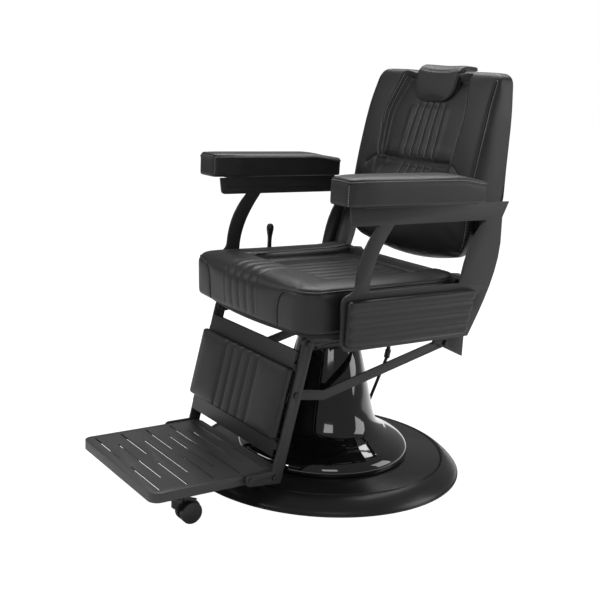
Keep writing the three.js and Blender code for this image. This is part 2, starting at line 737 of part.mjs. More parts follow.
function makeLegRest() {
  const barInner = BAR_OUTER - BAR_THICK;
  SIDES.forEach(([name, side]) => {
    const body = plate(sideBarOutline(), side * barInner, side * BAR_OUTER, 0, 10);
    const holes = [LEG_PIVOT, PLATE_HINGE].map((at) =>
      pin(side * (barInner - 5), side * (BAR_OUTER + 5), at, 4 + RUN, 16),
    );
    const stubHole = pin(side * (barInner - 5), side * (BAR_OUTER + 5), LINK_FRONT, 4 + GAP, 16);
    const stop = join(
      pin(side * (STEP_HALF_WIDTH - 8), side * BAR_OUTER, NOSE, 4, 16),
      pin(side * (BAR_OUTER - 1), side * (BAR_OUTER + 3), NOSE, 6.5, 16),
    );
    add("leg_bar_" + name, join(cut(body, ...holes, stubHole), stop), satinSteel);
    const lugInner = barInner - 2 * GAP - 6;
    const pivotBolt = join(
      pin(side * (lugInner - 3), side * (BAR_OUTER + 1), LEG_PIVOT, 4, 16),
      pin(side * (BAR_OUTER + GAP), side * (BAR_OUTER + 4), LEG_PIVOT, 7, 6),
      pin(side * (lugInner - 4), side * (lugInner - GAP), LEG_PIVOT, 7, 16),
    );
    add("leg_pivot_bolt_" + name, pivotBolt, brightSteel);
    const stub = join(
      pin(side * (barInner + GAP), side * (BAR_OUTER + 1), LINK_FRONT, 4, 16),
      pin(side * (BAR_OUTER + GAP), side * (BAR_OUTER + 3), LINK_FRONT, 7, 16),
    );
    add("link_screw_" + name, stub, satinSteel);
    const hinge = join(
      pin(side * (STEP_HALF_WIDTH - 8), side * (BAR_OUTER + 1), PLATE_HINGE, 4, 16),
      pin(side * (BAR_OUTER + GAP), side * (BAR_OUTER + 3), PLATE_HINGE, 6.5, 16),
    );
    add("step_hinge_screw_" + name, hinge, satinSteel);
  });
  const crossbars = [52, 236].map((down) => {
    const front = PANEL_FACE - 1;
    const reach = barInner - GAP;
    const rear = front - 18;
    const corners = [onLeg(down, front), onLeg(down + 16, front), onLeg(down + 16, rear), onLeg(down, rear)];
    return plate(outline(corners), -reach, reach);
  });
  const sheet = outline([
    onLeg(PANEL_FROM, PANEL_FACE),
    onLeg(PANEL_FROM, PANEL_FACE - PANEL_LIP),
    onLeg(PANEL_FROM + PANEL_SHEET, PANEL_FACE - PANEL_LIP),
    onLeg(PANEL_FROM + PANEL_SHEET, PANEL_FACE - PANEL_SHEET),
    onLeg(PANEL_TO - PANEL_SHEET, PANEL_FACE - PANEL_SHEET),
    onLeg(PANEL_TO - PANEL_SHEET, PANEL_FACE - PANEL_LIP),
    onLeg(PANEL_TO, PANEL_FACE - PANEL_LIP),
    onLeg(PANEL_TO, PANEL_FACE),
  ]);
  add("calf_panel", join(plate(sheet, -PANEL_HALF_WIDTH, PANEL_HALF_WIDTH), ...crossbars), satinSteel);
  const face = PANEL_FACE + GAP;
  const pad = outline([
    onLeg(CALF_FROM, face),
    onLeg(CALF_TO, face),
    onLeg(CALF_TO, face + CALF_THICK),
    onLeg(CALF_FROM, face + CALF_THICK),
  ]);
  add("calf_pad", plate(pad, -CALF_HALF_WIDTH, CALF_HALF_WIDTH, 4), leather);
}

function makeLinks() {
  const outer = linkOuter;
  const shape = strip([LINK_FRONT, LINK_BEND, LINK_REAR], LINK_WIDTH);
  SIDES.forEach(([name, side]) => {
    const inner = outer - LINK_THICK;
    const hole = pin(side * (inner - 5), side * (outer + 5), LINK_REAR, 4 + RUN, 16);
    add("leg_link_" + name, cut(plate(shape, side * inner, side * outer, 0, 6), hole), satinSteel);
  });
}

// ---------------------------------------------------------------- footplate
function makeFootplate() {
  const low = STEP_TOP - STEP_HEIGHT;
  const sheet = STEP_SHEET;
  const half = STEP_HALF_WIDTH;
  const shell = slab(roundedRectangle(-half, half, STEP_FRONT, STEP_REAR, STEP_CORNER), low, STEP_TOP);
  const hollow = slab(
    roundedRectangle(-half + sheet, half - sheet, STEP_FRONT + sheet, STEP_REAR - sheet, STEP_CORNER - sheet),
    low - 5, STEP_TOP - sheet,
  );
  const slots = [];
  for (let row = 0; row < SLOT_ROWS; row += 1) {
    const y = SLOT_FIRST + row * SLOT_PITCH;
    const spans = row % 2 === 0 ? [[-half + 17, -28], [28, half - 17]] : [[-112, 112]];
    spans.forEach(([x0, x1]) => {
      slots.push(box(x0, x1, y - SLOT_WIDTH / 2, y + SLOT_WIDTH / 2, STEP_TOP - 3 * sheet, STEP_TOP + 5));
    });
  }
  const notches = SIDES.map(([, side]) =>
    box(side * (half - 12), side * (half + 4), NOSE[0] - 8, NOSE[0] + 8, low - 5, NOSE[1] + 4 + GAP),
  );
  const holes = SIDES.map(([, side]) => pin(side * (half - 12), side * (half + 4), PLATE_HINGE, 4 + RUN, 16));
  add("footplate", cut(shell, hollow, ...slots, ...notches, ...holes), satinSteel);
}

function makeCastors() {
  const sheetUnder = STEP_TOP - STEP_SHEET;
  SIDES.forEach(([name, side]) => {
    const x = side * CASTOR_X;
    const [y, axleY] = [CASTOR_Y, CASTOR_Y + CASTOR_TRAIL];
    const seat = join(
      box(x - 19, x + 19, y - 19, y + 19, sheetUnder - GAP - 4, sheetUnder - GAP),
      bar([x, y, sheetUnder - 28], [x, y, sheetUnder - 3], 9, 20),
    );
    add("castor_mount_" + name, seat, satinSteel);
    const neckTop = sheetUnder - 28 - GAP;
    const hood = new THREE.Shape();
    hood.moveTo(y - 13, neckTop);
    hood.lineTo(y + 13, neckTop);
    hood.lineTo(axleY + 20, WHEEL_RADIUS + 24);
    hood.absarc(axleY, WHEEL_RADIUS, WHEEL_RADIUS + 3, Math.PI / 3.2, -0.1, true);
    hood.lineTo(axleY + 8, WHEEL_RADIUS - 6);
    hood.lineTo(axleY - 8, WHEEL_RADIUS - 8);
    hood.lineTo(y - 13, neckTop - 22);
    const halfHood = HOOD_WIDTH / 2;
    const web = plate(hood, x - halfHood, x + halfHood, 0, 8);
    const cap = bar([x, y, neckTop - 9], [x, y, neckTop], 14, 20);
    const axleAt = [axleY, WHEEL_RADIUS];
    const axleHole = pin(x - 20, x + 20, axleAt, 3 + RUN, 16);
    const clearRing = (s) =>
      pin(x + s * (halfHood + 0.01), x + s * (halfHood + WHEEL_WIDTH + 4), axleAt, WHEEL_RADIUS + 1.5, 32);
    const fork = cut(join(web, cap), axleHole, clearRing(1), clearRing(-1));
    add("castor_fork_" + name, fork, blackPlastic);
    const discs = [-1, 1].map((s) =>
      pin(x + s * (halfHood + 0.8), x + s * (halfHood + 0.8 + WHEEL_WIDTH), axleAt, WHEEL_RADIUS, 36),
    );
    const axle = pin(x - halfHood - 4, x + halfHood + 4, axleAt, 3, 16);
    add("castor_wheels_" + name, join(...discs, axle), blackPlastic);
  });
}

// ---------------------------------------------------------------- levers
function makeHandLever() {
  const half = HAND_LEVER_THICK / 2;
  const x = HAND_LEVER_X;
  const [y, z] = HAND_LEVER;
  const root = plate(strip([HAND_LEVER, [y, z + 62]], 16), x - half, x + half, 0, 6);
  const stem = bar([x, y, z + 50], [x, y, KNOB_CENTRE - 4], 2.9, 12);
  const hole = pin(x - 10, x + 10, HAND_LEVER, 3 + RUN, 12);
  add("recline_lever", cut(join(root, stem), hole), satinSteel);
  const knob = turned([
    [3.2, -26],
    [5, -26],
    [5.5, -14],
    [KNOB_RADIUS - 1, -5],
    [KNOB_RADIUS, 1],
    [KNOB_RADIUS - 2, 6],
    [KNOB_RADIUS - 5, 8.5],
    [0, 9.5],
    [0, -3.4],
    [3.2, -3.4],
  ], 20);
  knob.translate(x, y, KNOB_CENTRE);
  add("recline_knob", knob, blackPlastic);
  const tabInner = x + half + 0.7;
  const bolt = join(
    pin(x - half - 2, tabInner + 3.5, HAND_LEVER, 3, 12),
    pin(tabInner + 3 + GAP, tabInner + 6, HAND_LEVER, 5, 12),
    pin(x - half - 3, x - half - GAP, HAND_LEVER, 5, 12),
  );
  add("recline_lever_bolt", bolt, brightSteel);
}

/** The pump lever: a shaft that turns in the swivel head, with a rod down to the pedal behind the bell. */
function makePumpLever() {
  const [x, z] = PUMP_SHAFT;
  const r = PUMP_SHAFT_RADIUS;
  const end = PUMP_SHAFT_END;
  const knuckle = z - 76;
  const foot = [x - 56, end - 10, PEDAL_HEIGHT];
  const shaft = bar([x, pumpBearing[0] - 8, z], [x, end + r, z], r, 16);
  const collars = [
    bar([x, pumpBearing[0] - 7, z], [x, pumpBearing[0] - GAP, z], r + 4, 16),
    bar([x, pumpBearing[1] + GAP, z], [x, pumpBearing[1] + 8, z], r + 4, 16),
  ];
  const drop = bar([x, end, z], [x, end, knuckle], PUMP_ROD_RADIUS + 1, 12);
  const knob = bar([x, end, knuckle + 12], [x - 4, end - 1, knuckle - 10], 8, 14);
  const rod = bar([x, end, knuckle], foot, PUMP_ROD_RADIUS, 12);
  const toe = [foot[0] - PEDAL_LENGTH, foot[1], foot[2]];
  const pedal = bar(foot, toe, PUMP_ROD_RADIUS, 12);
  const elbow = new THREE.SphereGeometry(PUMP_ROD_RADIUS + 0.6, 10, 8).translate(...foot);
  add("pump_lever", join(shaft, ...collars, drop, knob, rod, pedal, elbow), satinSteel);
  const sleeve = bar([foot[0] - 12, foot[1], foot[2]], [toe[0] - 3, foot[1], foot[2]], 9, 20);
  const boreEnd = [toe[0] - GAP, foot[1], foot[2]];
  const bore = bar([foot[0] - 9, foot[1], foot[2]], boreEnd, PUMP_ROD_RADIUS + GAP, 12);
  const mouth = bar(foot, [foot[0] - 20, foot[1], foot[2]], PUMP_ROD_RADIUS + GAP, 12);
  add("pump_pedal_pad", cut(sleeve, bore, mouth), rubber);
}

/** The lockable gas spring that holds the back: a tube under the pan, and a rod that pushes the tie tube. */
function makeGasSpring() {
  const rear = 66;
  const tube = bar([STRUT_X, -137, STRUT_Z], [STRUT_X, rear, STRUT_Z], STRUT_RADIUS, 24);
  const bore = bar([STRUT_X, -60, STRUT_Z], [STRUT_X, rear + 5, STRUT_Z], STRUT_ROD + RUN, 16);
  add("gas_spring_tube", cut(tube, bore), satinSteel);
  const tip = TIE[0] - TIE_RADIUS - 6;
  const rod = bar([STRUT_X, rear - 15, STRUT_Z], [STRUT_X, tip - 10, STRUT_Z], STRUT_ROD, 16);
  const eye = bar([STRUT_X, tip - 14, STRUT_Z], [STRUT_X, tip, STRUT_Z], 9, 16);
  add("gas_spring_rod", join(rod, eye), brightSteel);
}

makeBase();
makeBell();
makePump();
makeSwivelHead();
makeChassis();
makeSeat();
makeSideFrames();
makeBackFrame();
makeBackrest();
makeHeadrest();
makeLegRest();
makeLinks();
makeFootplate();
makeCastors();
makeHandLever();
makePumpLever();
makeGasSpring();

export default chair;
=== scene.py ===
"""Looks of a reclining barber chair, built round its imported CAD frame."""

import json
import logging
import math
from collections.abc import Sequence
from dataclasses import dataclass, field
from enum import Enum

import bpy
import numpy as np
from mathutils import Matrix, Vector
from mathutils.bvhtree import BVHTree
from mathutils.kdtree import KDTree

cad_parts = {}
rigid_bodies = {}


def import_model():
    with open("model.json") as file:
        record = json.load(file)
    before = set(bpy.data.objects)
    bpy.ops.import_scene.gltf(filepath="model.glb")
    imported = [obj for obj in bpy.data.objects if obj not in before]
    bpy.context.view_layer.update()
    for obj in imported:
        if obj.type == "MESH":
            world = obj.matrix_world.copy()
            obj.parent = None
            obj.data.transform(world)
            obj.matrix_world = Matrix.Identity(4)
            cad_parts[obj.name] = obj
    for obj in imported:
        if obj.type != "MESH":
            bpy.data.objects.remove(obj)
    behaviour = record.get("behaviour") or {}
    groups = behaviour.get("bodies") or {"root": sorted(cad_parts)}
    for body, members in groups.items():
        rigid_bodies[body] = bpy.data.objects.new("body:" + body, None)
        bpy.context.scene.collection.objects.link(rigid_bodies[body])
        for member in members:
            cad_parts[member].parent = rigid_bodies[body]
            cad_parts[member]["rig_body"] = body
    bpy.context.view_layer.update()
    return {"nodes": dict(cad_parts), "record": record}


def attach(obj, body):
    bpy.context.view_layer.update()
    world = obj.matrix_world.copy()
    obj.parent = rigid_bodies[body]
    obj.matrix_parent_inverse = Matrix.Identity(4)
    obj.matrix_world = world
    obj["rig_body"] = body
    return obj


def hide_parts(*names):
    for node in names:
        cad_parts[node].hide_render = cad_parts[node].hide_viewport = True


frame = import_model()
MM = 0.001

log = logging.getLogger("barber_chair")


# ------------------------------------------------------------------ shading
class Wire:
    """A socket that can be used in a Python expression; each operator adds one Math node."""

    def __init__(self, graph: "Graph", socket: bpy.types.NodeSocket) -> None:
        """Keeps the socket and the node tree it belongs to."""
        self.graph = graph
        self.socket = socket

    def _maths(self, operation: str, first: object, second: object) -> "Wire":
        """Adds one Math node and returns its result."""
        return self.graph.node("ShaderNodeMath", {"operation": operation}, {0: first, 1: second})

    def __add__(self, other: object) -> "Wire":
        """self + other."""
        return self._maths("ADD", self, other)

    def __radd__(self, other: object) -> "Wire":
        """other + self."""
        return self._maths("ADD", other, self)

    def __sub__(self, other: object) -> "Wire":
        """self - other."""
        return self._maths("SUBTRACT", self, other)

    def __rsub__(self, other: object) -> "Wire":
        """other - self."""
        return self._maths("SUBTRACT", other, self)

    def __mul__(self, other: object) -> "Wire":
        """self * other."""
        return self._maths("MULTIPLY", self, other)

    def __rmul__(self, other: object) -> "Wire":
        """other * self."""
        return self._maths("MULTIPLY", other, self)


class Graph:
    """A node tree, and the one way in which its nodes are added."""

    def __init__(self, tree: bpy.types.NodeTree) -> None:
        """Keeps the tree."""
        self.tree = tree

    def node(self, kind: str, settings: dict, inputs: dict, output: int | str = 0) -> Wire:
        """Adds any node.

        Args:
            kind: The node's type.
            settings: Its own settings, which are set first; "ramp" gives the stops of a colour ramp.
            inputs: A value or a Wire for each socket, by name or number.
            output: The socket to hand back.

        Returns:
            The chosen output.
        """
        made = self.tree.nodes.new(kind)
        for key, value in settings.items():
            if key == "ramp":
                stops = made.color_ramp.elements
                while len(stops) < len(value):
                    stops.new(0.5)
                for stop, (position, grey) in zip(stops, value):
                    stop.position = position
                    stop.color = (grey, grey, grey, 1)
            else:
                setattr(made, key, value)
        for key, value in inputs.items():
            if isinstance(value, Wire):
                self.tree.links.new(value.socket, made.inputs[key])
            else:
                made.inputs[key].default_value = value
        return Wire(self, made.outputs[output])


class Paint(Graph):
    """One material and the nodes that make it."""

    def __init__(self, name: str) -> None:
        """Starts an empty material whose surface is one Principled shader."""
        self.material = bpy.data.materials.new(name)
        self.material.use_nodes = True
        super().__init__(self.material.node_tree)
        self.tree.nodes.clear()
        self.shader = self.tree.nodes.new("ShaderNodeBsdfPrincipled")
        self.out = self.tree.nodes.new("ShaderNodeOutputMaterial")
        self.tree.links.new(self.shader.outputs[0], self.out.inputs[0])
        self.place = self.node("ShaderNodeTexCoord", {}, {}, "Object")

    def noise(self, scale: float, detail: float = 3.0, place: Wire | None = None) -> Wire:
        """Noise of about 1 / scale metres, from 0 to 1."""
        inputs = {"Vector": place or self.place, "Scale": scale, "Detail": detail}
        return self.node("ShaderNodeTexNoise", {}, inputs, 0)

    def ramp(self, value: Wire, *stops: tuple[float, float]) -> Wire:
        """A value read through grey stops."""
        return self.node("ShaderNodeValToRGB", {"ramp": stops}, {0: value})

    def mix(self, factor: Wire, first: Sequence[float], second: Sequence[float]) -> Wire:
        """One of two colours, chosen by factor."""
        inputs = {0: factor, 6: (*first, 1), 7: (*second, 1)}
        return self.node("ShaderNodeMix", {"data_type": "RGBA"}, inputs, 2)

    def bump(self, height: Wire, distance: float, strength: float = 1.0) -> Wire:
        """A normal from a height field that is distance metres deep."""
        inputs = {"Strength": strength, "Distance": distance, "Height": height}
        return self.node("ShaderNodeBump", {}, inputs)

    def surface(self, **values: object) -> bpy.types.Material:
        """Sets the shader's sockets, named with underscores for spaces, and returns the material."""
        for key, value in values.items():
            socket = self.shader.inputs[key.replace("_", " ")]
            if isinstance(value, Wire):
                self.tree.links.new(value.socket, socket)
            else:
                socket.default_value = value
        return self.material


def shade(colour: Sequence[float], by: float) -> tuple[float, ...]:
    """A colour made lighter or darker, up to white."""
    return tuple(min(1.0, channel * by) for channel in colour)


@dataclass(frozen=True)
class Leather:
    """Semi-matte upholstery with a fine pebbled grain."""

    name: str
    colour: tuple[float, float, float] = (0.0105, 0.0105, 0.0112)
    shine: float = 0.36
    grain: float = 620.0

    def make(self) -> bpy.types.Material:
        """Builds the material."""
        paint = Paint(self.name)
        cloud = paint.noise(9.0, 4.0)
        inputs = {"Vector": paint.place, "Scale": self.grain, "Randomness": 1.0}
        cells = paint.node("ShaderNodeTexVoronoi", {"feature": "DISTANCE_TO_EDGE"}, inputs, 0)
        pebble = paint.ramp(cells, (0.0, 0.0), (0.22, 1.0))
        crease = paint.noise(70.0, 5.0)
        height = pebble * 0.55 + crease * 0.45
        worn = shade(self.colour, 1.7)
        colour = paint.mix(paint.ramp(cloud, (0.3, 0.0), (0.75, 1.0)), self.colour, worn)
        rough = self.shine - 0.07 + cloud * 0.16 + (1 - pebble) * 0.12
        return paint.surface(
            Base_Color=colour, Roughness=rough, Normal=paint.bump(height, 0.00022, 0.55),
            IOR=1.5, Specular_IOR_Level=0.5,
        )


@dataclass(frozen=True)
class PowderCoat:
    """Baked paint on steel with a fine orange-peel skin."""

    name: str
    colour: tuple[float, float, float]
    shine: float = 0.42
    peel: float = 900.0

    def make(self) -> bpy.types.Material:
        """Builds the material."""
        paint = Paint(self.name)
        cloud = paint.noise(6.0, 3.0)
        skin = paint.noise(self.peel, 2.0)
        colour = paint.mix(cloud, self.colour, shade(self.colour, 1.25))
        rough = self.shine - 0.05 + cloud * 0.1 + skin * 0.05
        return paint.surface(
            Base_Color=colour, Roughness=rough, Normal=paint.bump(skin, 0.00006, 0.5), IOR=1.5,
        )


@dataclass(frozen=True)
class Enamel:
    """Deep gloss black with faint polishing haze."""

    name: str
    colour: tuple[float, float, float]
    shine: float = 0.045
    coat: float = 1.0

    def make(self) -> bpy.types.Material:
        """Builds the material."""
        paint = Paint(self.name)
        haze = paint.noise(14.0, 5.0)
        wave = paint.noise(11.0, 1.0)
        dust = paint.ramp(paint.noise(260.0, 2.0), (0.62, 0.0), (0.8, 1.0))
        return paint.surface(
            Base_Color=paint.mix(haze, self.colour, shade(self.colour, 1.5)),
            Roughness=self.shine + haze * 0.05 + dust * 0.05,
            Normal=paint.bump(wave, 0.0006, 0.4), Coat_Weight=self.coat, Coat_Roughness=0.03, IOR=1.5,
        )


@dataclass(frozen=True)
class BareMetal:
    """Polished or blackened metal with fine turning marks along its height."""

    name: str
    colour: tuple[float, float, float]
    metal: float = 1.0
    shine: float = 0.16

    def make(self) -> bpy.types.Material:
        """Builds the material."""
        paint = Paint(self.name)
        inputs = {"Vector": paint.place, "Scale": (40.0, 40.0, 1400.0)}
        stretched = paint.node("ShaderNodeMapping", {}, inputs)
        marks = paint.noise(1.0, 2.0, stretched)
        cloud = paint.noise(30.0, 3.0)
        return paint.surface(
            Base_Color=paint.mix(cloud, self.colour, shade(self.colour, 0.7)), Metallic=self.metal,
            Roughness=self.shine + marks * 0.08 + cloud * 0.05, Normal=paint.bump(marks, 0.00003, 0.3),
        )


@dataclass(frozen=True)
class Moulding:
    """Plastic, rubber or thread: an even body colour with a small surface texture."""

    name: str
    colour: tuple[float, float, float]
    shine: float
    texture: float = 500.0
    depth: float = 0.00005

    def make(self) -> bpy.types.Material:
        """Builds the material."""
        paint = Paint(self.name)
        cloud = paint.noise(22.0, 3.0)
        skin = paint.noise(self.texture, 2.0)
        return paint.surface(
            Base_Color=paint.mix(cloud, self.colour, shade(self.colour, 1.4)),
            Roughness=self.shine + cloud * 0.08,
            Normal=paint.bump(skin, self.depth, 0.5), IOR=1.5,
        )


@dataclass(frozen=True)
class Plywood:
    """Black-stained board with grain that runs across the seat."""

    name: str

    def make(self) -> bpy.types.Material:
        """Builds the material."""
        paint = Paint(self.name)
        inputs = {"Vector": paint.place, "Scale": (6.0, 90.0, 400.0)}
        grain = paint.noise(1.0, 6.0, paint.node("ShaderNodeMapping", {}, inputs))
        return paint.surface(
            Base_Color=paint.mix(grain, (0.017, 0.016, 0.015), (0.010, 0.0095, 0.009)),
            Roughness=0.55 + grain * 0.25, Normal=paint.bump(grain, 0.0003, 0.5),
        )


class Finish(Enum):
    """Every finish on the chair."""

    LEATHER = Leather("upholstery")
    PIPING = Leather("piping_leather", (0.012, 0.012, 0.013), 0.26)
    # Light grey thread, brightened past its own tone so that the stitch rows also stand for the highlight
    # lines along the sewn channels: partly the thread's colour, partly a painted highlight.
    THREAD = Moulding("thread", (0.34, 0.34, 0.345), 0.55, 2400.0, 0.00012)
    FRAME = PowderCoat("frame_coat", (0.013, 0.013, 0.014))
    SIDE = PowderCoat("side_coat", (0.021, 0.021, 0.022), 0.45)
    STEP = PowderCoat("step_coat", (0.044, 0.044, 0.046), 0.4)
    BASE = PowderCoat("base_coat", (0.013, 0.013, 0.0135), 0.27, 700.0)
    BELL = Enamel("bell_enamel", (0.004, 0.004, 0.004))
    CASTOR = Moulding("castor_plastic", (0.012, 0.012, 0.012), 0.16)
    KNOB = Moulding("knob_plastic", (0.010, 0.010, 0.010), 0.14)
    BOLT = BareMetal("blackened_bolt", (0.045, 0.045, 0.048), 0.7, 0.34)
    CHROME = BareMetal("hard_chrome", (0.62, 0.62, 0.63), 1.0, 0.12)
    STEEL = BareMetal("oiled_steel", (0.36, 0.36, 0.37), 1.0, 0.3)
    BUSH = Moulding("bush_plastic", (0.05, 0.05, 0.05), 0.5)
    RUBBER = Moulding("pedal_rubber", (0.016, 0.016, 0.016), 0.62, 900.0, 0.00015)
    BOARD = Plywood("seat_board_wood")
    CAST = PowderCoat("cast_head", (0.02, 0.02, 0.02), 0.55, 300.0)

    def material(self) -> bpy.types.Material:
        """The finish's material, made once."""
        return bpy.data.materials.get(self.value.name) or self.value.make()


# ------------------------------------------------------------------ benches
class Bench:
    """The operators and small tools that every piece is made with."""

    @staticmethod
    def clear() -> None:
        """Leaves nothing selected or in edit mode."""
        if bpy.context.object and bpy.context.object.mode != "OBJECT":
            bpy.ops.object.mode_set(mode="OBJECT")
        bpy.ops.object.select_all(action="DESELECT")

    @staticmethod
    def pick(piece: bpy.types.Object) -> None:
        """Makes one object the only selected and active one."""
        Bench.clear()
        piece.select_set(True)
        bpy.context.view_layer.objects.active = piece

    @staticmethod
    def apply_all(piece: bpy.types.Object) -> None:
        """Applies every modifier of a piece, in order."""
        Bench.pick(piece)
        for modifier in list(piece.modifiers):
            bpy.ops.object.modifier_apply(modifier=modifier.name)

    @staticmethod
    def tidy(piece: bpy.types.Object, join: float = 1e-6) -> None:
        """Merges doubles and turns every face outwards."""
        Bench.pick(piece)
        bpy.ops.object.mode_set(mode="EDIT")
        bpy.ops.mesh.select_all(action="SELECT")
        bpy.ops.mesh.remove_doubles(threshold=join)
        bpy.ops.mesh.normals_make_consistent(inside=False)
        bpy.ops.object.mode_set(mode="OBJECT")

    @staticmethod
    def smooth(piece: bpy.types.Object, angle: float = 35.0) -> None:
        """Shades a piece smooth, apart from edges sharper than angle."""
        Bench.pick(piece)
        bpy.ops.object.shade_smooth_by_angle(angle=math.radians(angle))

    @staticmethod
    def settle(piece: bpy.types.Object) -> None:
        """Puts a piece's place into its mesh."""
        Bench.pick(piece)
        bpy.ops.object.transform_apply(location=True, rotation=True, scale=True)

    @staticmethod
    def fit(piece: bpy.types.Object, finish: Finish, node: str, stands_in: bool = True) -> None:
        """Paints a piece and puts it on a CAD node's body; the node's material slot is only looked up, not
        used.

        Args:
            piece: The piece.
            finish: Its finish, all over.
            node: The CAD node that it belongs to.
            stands_in: True if it is shown in the node's place.
        """
        subparts = frame["record"]["subparts"]
        piece.data.materials.clear()
        piece.data.materials.append(finish.material())
        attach(piece, frame["nodes"][node]["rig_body"])
        if stands_in:
            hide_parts(node)
        next(part["material_slot"] for part in subparts if part["node"] == node)

    @staticmethod
    def placed(name: str, data: bpy.types.ID) -> bpy.types.Object:
        """A new object in the scene, from a mesh, a light or a camera."""
        made = bpy.data.objects.new(name, data)
        bpy.context.scene.collection.objects.link(made)
        return made

    @staticmethod
    def from_points(name: str, points: np.ndarray, faces: np.ndarray) -> bpy.types.Object:
        """A mesh object from points in metres and their faces."""
        mesh = bpy.data.meshes.new(name)
        mesh.from_pydata(points.tolist(), [], faces.tolist())
        return Bench.placed(name, mesh)

    @staticmethod
    def turned(name: str, profile: Sequence[tuple[float, float]], steps: int) -> bpy.types.Object:
        """A shape spun about the vertical axis.

        Args:
            name: The piece's name.
            profile: Radius and height of each point, in mm, along the wall's outline.
            steps: Faces round the full turn.

        Returns:
            The piece, with its faces outwards.
        """
        Bench.clear()
        radius, height = profile[0]
        bpy.ops.mesh.primitive_plane_add(size=1, location=(0, 0, 0))
        piece = bpy.context.object
        piece.name = name
        bpy.ops.object.mode_set(mode="EDIT")
        bpy.ops.mesh.select_all(action="SELECT")
        bpy.ops.mesh.merge(type="CENTER")
        bpy.ops.transform.translate(value=(radius * MM, 0, height * MM))
        for (r0, z0), (r1, z1) in zip(profile, profile[1:]):
            move = {"value": ((r1 - r0) * MM, 0, (z1 - z0) * MM)}
            bpy.ops.mesh.extrude_region_move(TRANSFORM_OT_translate=move)
        bpy.ops.mesh.select_all(action="SELECT")
        bpy.ops.mesh.spin(
            steps=steps, angle=2 * math.pi, center=(0, 0, 0), axis=(0, 0, 1), use_auto_merge=True,
        )
        bpy.ops.object.mode_set(mode="OBJECT")
        Bench.tidy(piece, 1e-5)
        return piece

    @staticmethod
    def round_corners(
        points: Sequence[tuple[float, float]], radii: dict[int, float], steps: int = 6
    ) -> list[tuple[float, float]]:
        """A profile with some of its corners rounded.

        Args:
            points: The sharp profile.
            radii: How far before and after a corner its curve starts, by the point's index.
            steps: Pieces in each curve.

        Returns:
            The new profile.
        """
        made: list[tuple[float, float]] = []
        for index, point in enumerate(points):
            reach = radii.get(index)
            if reach is None:
                made.append(point)
                continue
            corner = Vector(point)
            before = Vector(points[index - 1]) - corner
            after = Vector(points[(index + 1) % len(points)]) - corner
            start = corner + before.normalized() * min(reach, before.length / 2)
            end = corner + after.normalized() * min(reach, after.length / 2)
            for step in range(steps + 1):
                t = step / steps
                at = start * (1 - t) ** 2 + corner * 2 * t * (1 - t) + end * t * t
                made.append((at.x, at.y))
        return made


@dataclass
class SteelPart:
    """A CAD piece in its finish, with its sharp edges eased."""

    node: str
    finish: Finish
    bevel: float = 0.7

    def build(self) -> bpy.types.Object:
        """Copies the CAD piece, eases its edges and lets the copy stand for it."""
        piece = Bench.placed(self.node + "_look", frame["nodes"][self.node].data.copy())
        Bench.pick(piece)
        if piece.data.has_custom_normals:
            bpy.ops.mesh.customdata_custom_splitnormals_clear()
        Bench.tidy(piece, 1e-6)
        flat = piece.modifiers.new("flat", "DECIMATE")
        flat.decimate_type = "DISSOLVE"
        flat.angle_limit = math.radians(0.6)
        eased = piece.modifiers.new("ease", "BEVEL")
        eased.width = self.bevel * MM
        eased.segments = 2
        eased.limit_method = "ANGLE"
        eased.angle_limit = math.radians(38)
        eased.use_clamp_overlap = True
        Bench.apply_all(piece)
        Bench.smooth(piece, 32)
        Bench.fit(piece, self.finish, self.node)
        return piece


# ------------------------------------------------------------------ upholstery
def gridded_box(x: np.ndarray, y: np.ndarray, z: np.ndarray) -> tuple[np.ndarray, np.ndarray]:
    """The skin of a box as quads.

    Args:
        x: Stations of the grid along the first axis.
        y: Stations along the second.
        z: Stations along the third.

    Returns:
        The points and the quads, which face outwards.
    """
    skin = np.zeros((len(x), len(y), len(z)), bool)
    skin[0] = skin[-1] = True
    skin[:, 0] = skin[:, -1] = True
    skin[:, :, 0] = skin[:, :, -1] = True
    number = np.full(skin.shape, -1)
    number[skin] = np.arange(skin.sum())
    i, j, k = np.nonzero(skin)
    quads = []
    sheets = (
        (number[:, :, -1], 1), (number[:, :, 0], -1), (number[-1], 1),
        (number[0], -1), (number[:, 0, :], 1), (number[:, -1, :], -1),
    )
    for sheet, turn in sheets:
        ring = [sheet[:-1, :-1], sheet[1:, :-1], sheet[1:, 1:], sheet[:-1, 1:]]
        quads.append(np.stack(ring, -1).reshape(-1, 4)[:, ::turn])
    return np.stack([x[i], y[j], z[k]], 1), np.concatenate(quads)


def stations(low: float, high: float, pitch: float) -> np.ndarray:
    """Evenly spaced stations about pitch apart."""
    return np.linspace(low, high, max(2, round((high - low) / pitch)) + 1)


def ease(value: np.ndarray, start: float, end: float) -> np.ndarray:
    """Rises smoothly from 0 at start to 1 at end."""
    t = np.clip((value - start) / (end - start), 0, 1)
    return t * t * (3 - 2 * t)


def inside(value: np.ndarray, low: float, high: float, soft: float) -> np.ndarray:
    """1 between low and high, fading to 0 within soft outside them."""
    return ease(value, low - soft, low) * (1 - ease(value, high, high + soft))


STUFFING = {
    "quality": 6, "mass": 0.35, "tension_stiffness": 18, "compression_stiffness": 18,
    "shear_stiffness": 8, "bending_stiffness": 0.6, "use_pressure": True,
}
SETTLING_FRAMES = 16


